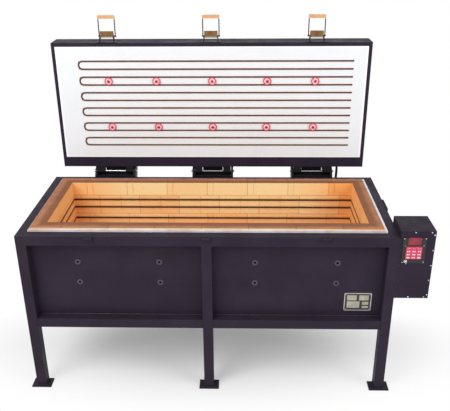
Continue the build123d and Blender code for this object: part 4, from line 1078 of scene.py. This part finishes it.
class KILN_OT_keypad_numbers(bpy.types.Operator):
    """Plain numbers on the keypad's keys"""
    bl_idname = "kiln.keypad_numbers"
    bl_label = "Keypad numbers"

    def execute(self, context):
        low, high = extent("keypad")
        pitch_x, pitch_z = (high[0] - low[0]) / 3, (high[2] - low[2]) / 4
        places = [(index % 3, 3 - index // 3) for index in range(9)] + [(1, 0)]
        joined = bmesh.new()
        for mark, (column, row) in zip("7894561230", places):
            curve = bpy.data.curves.new("key_mark", "FONT")
            curve.body, curve.size, curve.extrude = mark, 0.0115, 0.0001
            curve.align_x = curve.align_y = "CENTER"
            text = bpy.data.objects.new("key_mark", curve)
            context.scene.collection.objects.link(text)
            mesh = bpy.data.meshes.new_from_object(text)
            bpy.data.objects.remove(text)
            centre = (low[0] + pitch_x * (column + 0.5), low[1] - 0.00012, low[2] + pitch_z * (row + 0.5))
            mesh.transform(Matrix.Translation(centre) @ Matrix.Rotation(math.pi / 2, 4, "X"))
            joined.from_mesh(mesh)
            bpy.data.meshes.remove(mesh)
        numbers = bpy.data.meshes.new("keypad_numbers")
        joined.to_mesh(numbers)
        joined.free()
        numbers.uv_layers.remove(numbers.uv_layers[0])
        numbers.polygons.foreach_set("use_smooth", np.ones(len(numbers.polygons), bool))
        numbers.materials.clear()
        numbers.materials.append(plastic_finish("Key ink", linear(120, 24, 34), 0.4).material)
        piece = bpy.data.objects.new("keypad_numbers", numbers)
        context.scene.collection.objects.link(piece)
        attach(piece, "kiln_body")
        return {"FINISHED"}


class KILN_OT_stage(bpy.types.Operator):
    """Floor, lights, world and camera"""
    bl_idname = "kiln.stage"
    bl_label = "Stage"

    def execute(self, context):
        settings = context.scene.kiln_stage
        make_floor()
        make_world(settings.sky)
        add_lamp("key_lamp", (-2.6, -2.8, 4.2), (0.0, 0.3, 0.7), 3.4, settings.key)
        add_lamp("fill_lamp", (3.4, -1.8, 2.6), (0.2, 0.3, 0.8), 2.8, settings.fill)
        add_camera(settings.lens)
        context.scene.view_settings.view_transform = "Standard"
        return {"FINISHED"}


def make_floor():
    """Level floor that turns up into a backdrop: height r (1 - cos a) past the bend, far behind the kiln."""
    far, radius, climb = 8.0, 3.0, np.linspace(0.05, math.pi / 2, 16)
    level, wall = np.linspace(-9.0, far, 35), np.full(8, far + radius)
    run = np.concatenate([level, far + radius * np.sin(climb), wall])
    rise = np.concatenate([np.zeros(35), radius * (1 - np.cos(climb)), np.linspace(3.6, 11.0, 8)])
    x, y = np.meshgrid(np.linspace(-14.0, 14.0, 29), run, indexing="ij")
    vertices, faces, _ = surface(np.stack([x, y, np.broadcast_to(rise, x.shape) - 0.0005], axis=-1))
    material = bpy.data.materials.new("Studio floor")
    material.use_nodes = True
    nodes = Nodes(material.node_tree)
    nodes.tree.nodes.clear()
    x_part, y_part, _ = nodes.split(nodes.on_piece())
    # partly painted shadow: the white glow that camera and glossy rays see fades out in an ellipse round the
    # kiln, shaped to its shadow, over the lamps' real shadow
    away = nodes.maths("SQRT", nodes.maths("ADD", nodes.maths("POWER", nodes.times(x_part, 0.36), 2.0),
                                           nodes.maths("POWER", nodes.minus(y_part, 0.35), 2.0)))
    grain = nodes.remap(nodes.noise(2.0), 0.3, 0.7, 0.0, 0.03)
    glow_past_painted_shadow = nodes.maths("ADD", nodes.remap(away, 0.16, 0.62, 0.10, 1.0, smooth=True), grain, clamp=True)
    ray = nodes.add("ShaderNodeLightPath").outputs
    seen = nodes.fold("MAXIMUM", (ray["Is Glossy Ray"], ray["Is Transmission Ray"], ray["Is Camera Ray"]))
    matte = nodes.fill(nodes.add("ShaderNodeBsdfDiffuse"), Color=(0.86, 0.86, 0.86, 1.0))
    glow = nodes.fill(nodes.add("ShaderNodeEmission"), Color=(1.0, 1.0, 1.0, 1.0), Strength=1.0)
    blend_shaders(nodes, "ShaderNodeOutputMaterial", nodes.times(glow_past_painted_shadow, seen), matte, glow)
    mesh = bpy.data.meshes.new("floor")
    mesh.from_pydata(vertices.tolist(), [], faces.tolist())
    mesh.update()
    floor = bpy.data.objects.new("floor", mesh)
    bpy.context.scene.collection.objects.link(floor)
    mesh.materials.append(material)
    mesh.polygons.foreach_set("use_smooth", np.ones(len(faces), bool))
    if mesh.polygons[0].normal.z < 0:
        mesh.flip_normals()


def blend_shaders(nodes, output, factor, first, second):
    """Lead two shaders, mixed by a factor, to an output node."""
    mixer = nodes.add("ShaderNodeMixShader")
    for socket, value in zip(mixer.inputs, (factor, first.outputs[0], second.outputs[0])):
        nodes.feed(socket, value)
    nodes.fill(nodes.add(output), Surface=mixer.outputs[0])


def make_world(strength):
    """Even room light; rays from the camera see plain white."""
    world = bpy.data.worlds.new("Room")
    bpy.context.scene.world = world
    world.use_nodes = True
    nodes = Nodes(world.node_tree)
    nodes.tree.nodes.clear()
    room = nodes.fill(nodes.add("ShaderNodeBackground"), Color=(1.0, 0.99, 0.985, 1.0), Strength=strength)
    white = nodes.fill(nodes.add("ShaderNodeBackground"), Color=(1.0, 1.0, 1.0, 1.0), Strength=1.0)
    ray = nodes.add("ShaderNodeLightPath").outputs["Is Camera Ray"]
    blend_shaders(nodes, "ShaderNodeOutputWorld", ray, room, white)


def add_lamp(name, place, target, size, power):
    lamp = bpy.data.lights.new(name, "AREA")
    lamp.shape = "DISK"
    lamp.size = size
    lamp.energy = power
    lamp_object = bpy.data.objects.new(name, lamp)
    bpy.context.scene.collection.objects.link(lamp_object)
    aim = Vector(target) - Vector(place)
    lamp_object.matrix_world = Matrix.Translation(place) @ aim.to_track_quat("-Z", "Y").to_matrix().to_4x4()


def add_camera(lens):
    """Camera that stands 2.7 m in front, 2.3 m up, and looks 24 degrees down."""
    pitch, yaw, roll = math.radians(24.307), math.radians(-1.554), math.radians(-0.449)
    forward = np.array((math.sin(yaw) * math.cos(pitch), math.cos(yaw) * math.cos(pitch), -math.sin(pitch)))
    level = np.array((math.cos(yaw), -math.sin(yaw), 0.0))
    above = np.cross(level, forward)
    right = level * math.cos(roll) + above * math.sin(roll)
    up = above * math.cos(roll) - level * math.sin(roll)
    camera = bpy.data.cameras.new("camera")
    camera.lens = lens
    camera.sensor_fit = "HORIZONTAL"
    camera.sensor_width = 36.0
    camera.clip_end = 100.0
    camera_object = bpy.data.objects.new("camera", camera)
    bpy.context.scene.collection.objects.link(camera_object)
    turn = Matrix((right, up, -forward)).transposed().to_4x4()
    camera_object.matrix_world = Matrix.Translation((0.16474, -2.69144, 2.27794)) @ turn
    bpy.context.scene.camera = camera_object


class KILN_PT_pieces(bpy.types.Panel):
    """Sidebar list of the kiln's piece groups"""
    bl_idname = "KILN_PT_pieces"
    bl_label = "Glass kiln"
    bl_space_type = "VIEW_3D"
    bl_region_type = "UI"
    bl_category = "Glass kiln"

    def draw(self, context):
        layout = self.layout
        for group in (context.scene.kiln, context.scene.kiln_elements, context.scene.kiln_stage):
            column = layout.column(align=True)
            for name in group.bl_rna.properties.keys():
                if name not in ("rna_type", "name"):
                    column.prop(group, name)
        for operator in OPERATORS:
            layout.operator(operator.bl_idname)


SETTINGS = {"kiln": KilnSettings, "kiln_elements": ElementSettings, "kiln_stage": StageSettings}
OPERATORS = (KILN_OT_finishes, KILN_OT_wall_coils, KILN_OT_lid_coils, KILN_OT_lining_islands,
             KILN_OT_buttons, KILN_OT_hinge_webs, KILN_OT_conduit, KILN_OT_data_plate, KILN_OT_rim_fibre,
             KILN_OT_welds, KILN_OT_keypad_numbers, KILN_OT_stage)


def register():
    for name, group in SETTINGS.items():
        bpy.utils.register_class(group)
        setattr(bpy.types.Scene, name, PointerProperty(type=group))
    for operator in OPERATORS:
        bpy.utils.register_class(operator)
    bpy.utils.register_class(KILN_PT_pieces)


def unregister():
    bpy.utils.unregister_class(KILN_PT_pieces)
    for operator in reversed(OPERATORS):
        bpy.utils.unregister_class(operator)
    for name, group in SETTINGS.items():
        delattr(bpy.types.Scene, name)
        bpy.utils.unregister_class(group)


def main():
    register()
    bpy.ops.kiln.finishes()
    bpy.ops.kiln.wall_coils()
    bpy.ops.kiln.lid_coils()
    bpy.ops.kiln.lining_islands()
    bpy.ops.kiln.buttons()
    bpy.ops.kiln.hinge_webs()
    bpy.ops.kiln.conduit()
    bpy.ops.kiln.data_plate()
    bpy.ops.kiln.rim_fibre()
    bpy.ops.kiln.welds()
    bpy.ops.kiln.keypad_numbers()
    bpy.ops.kiln.stage()


if __name__ == "__main__":
    main()
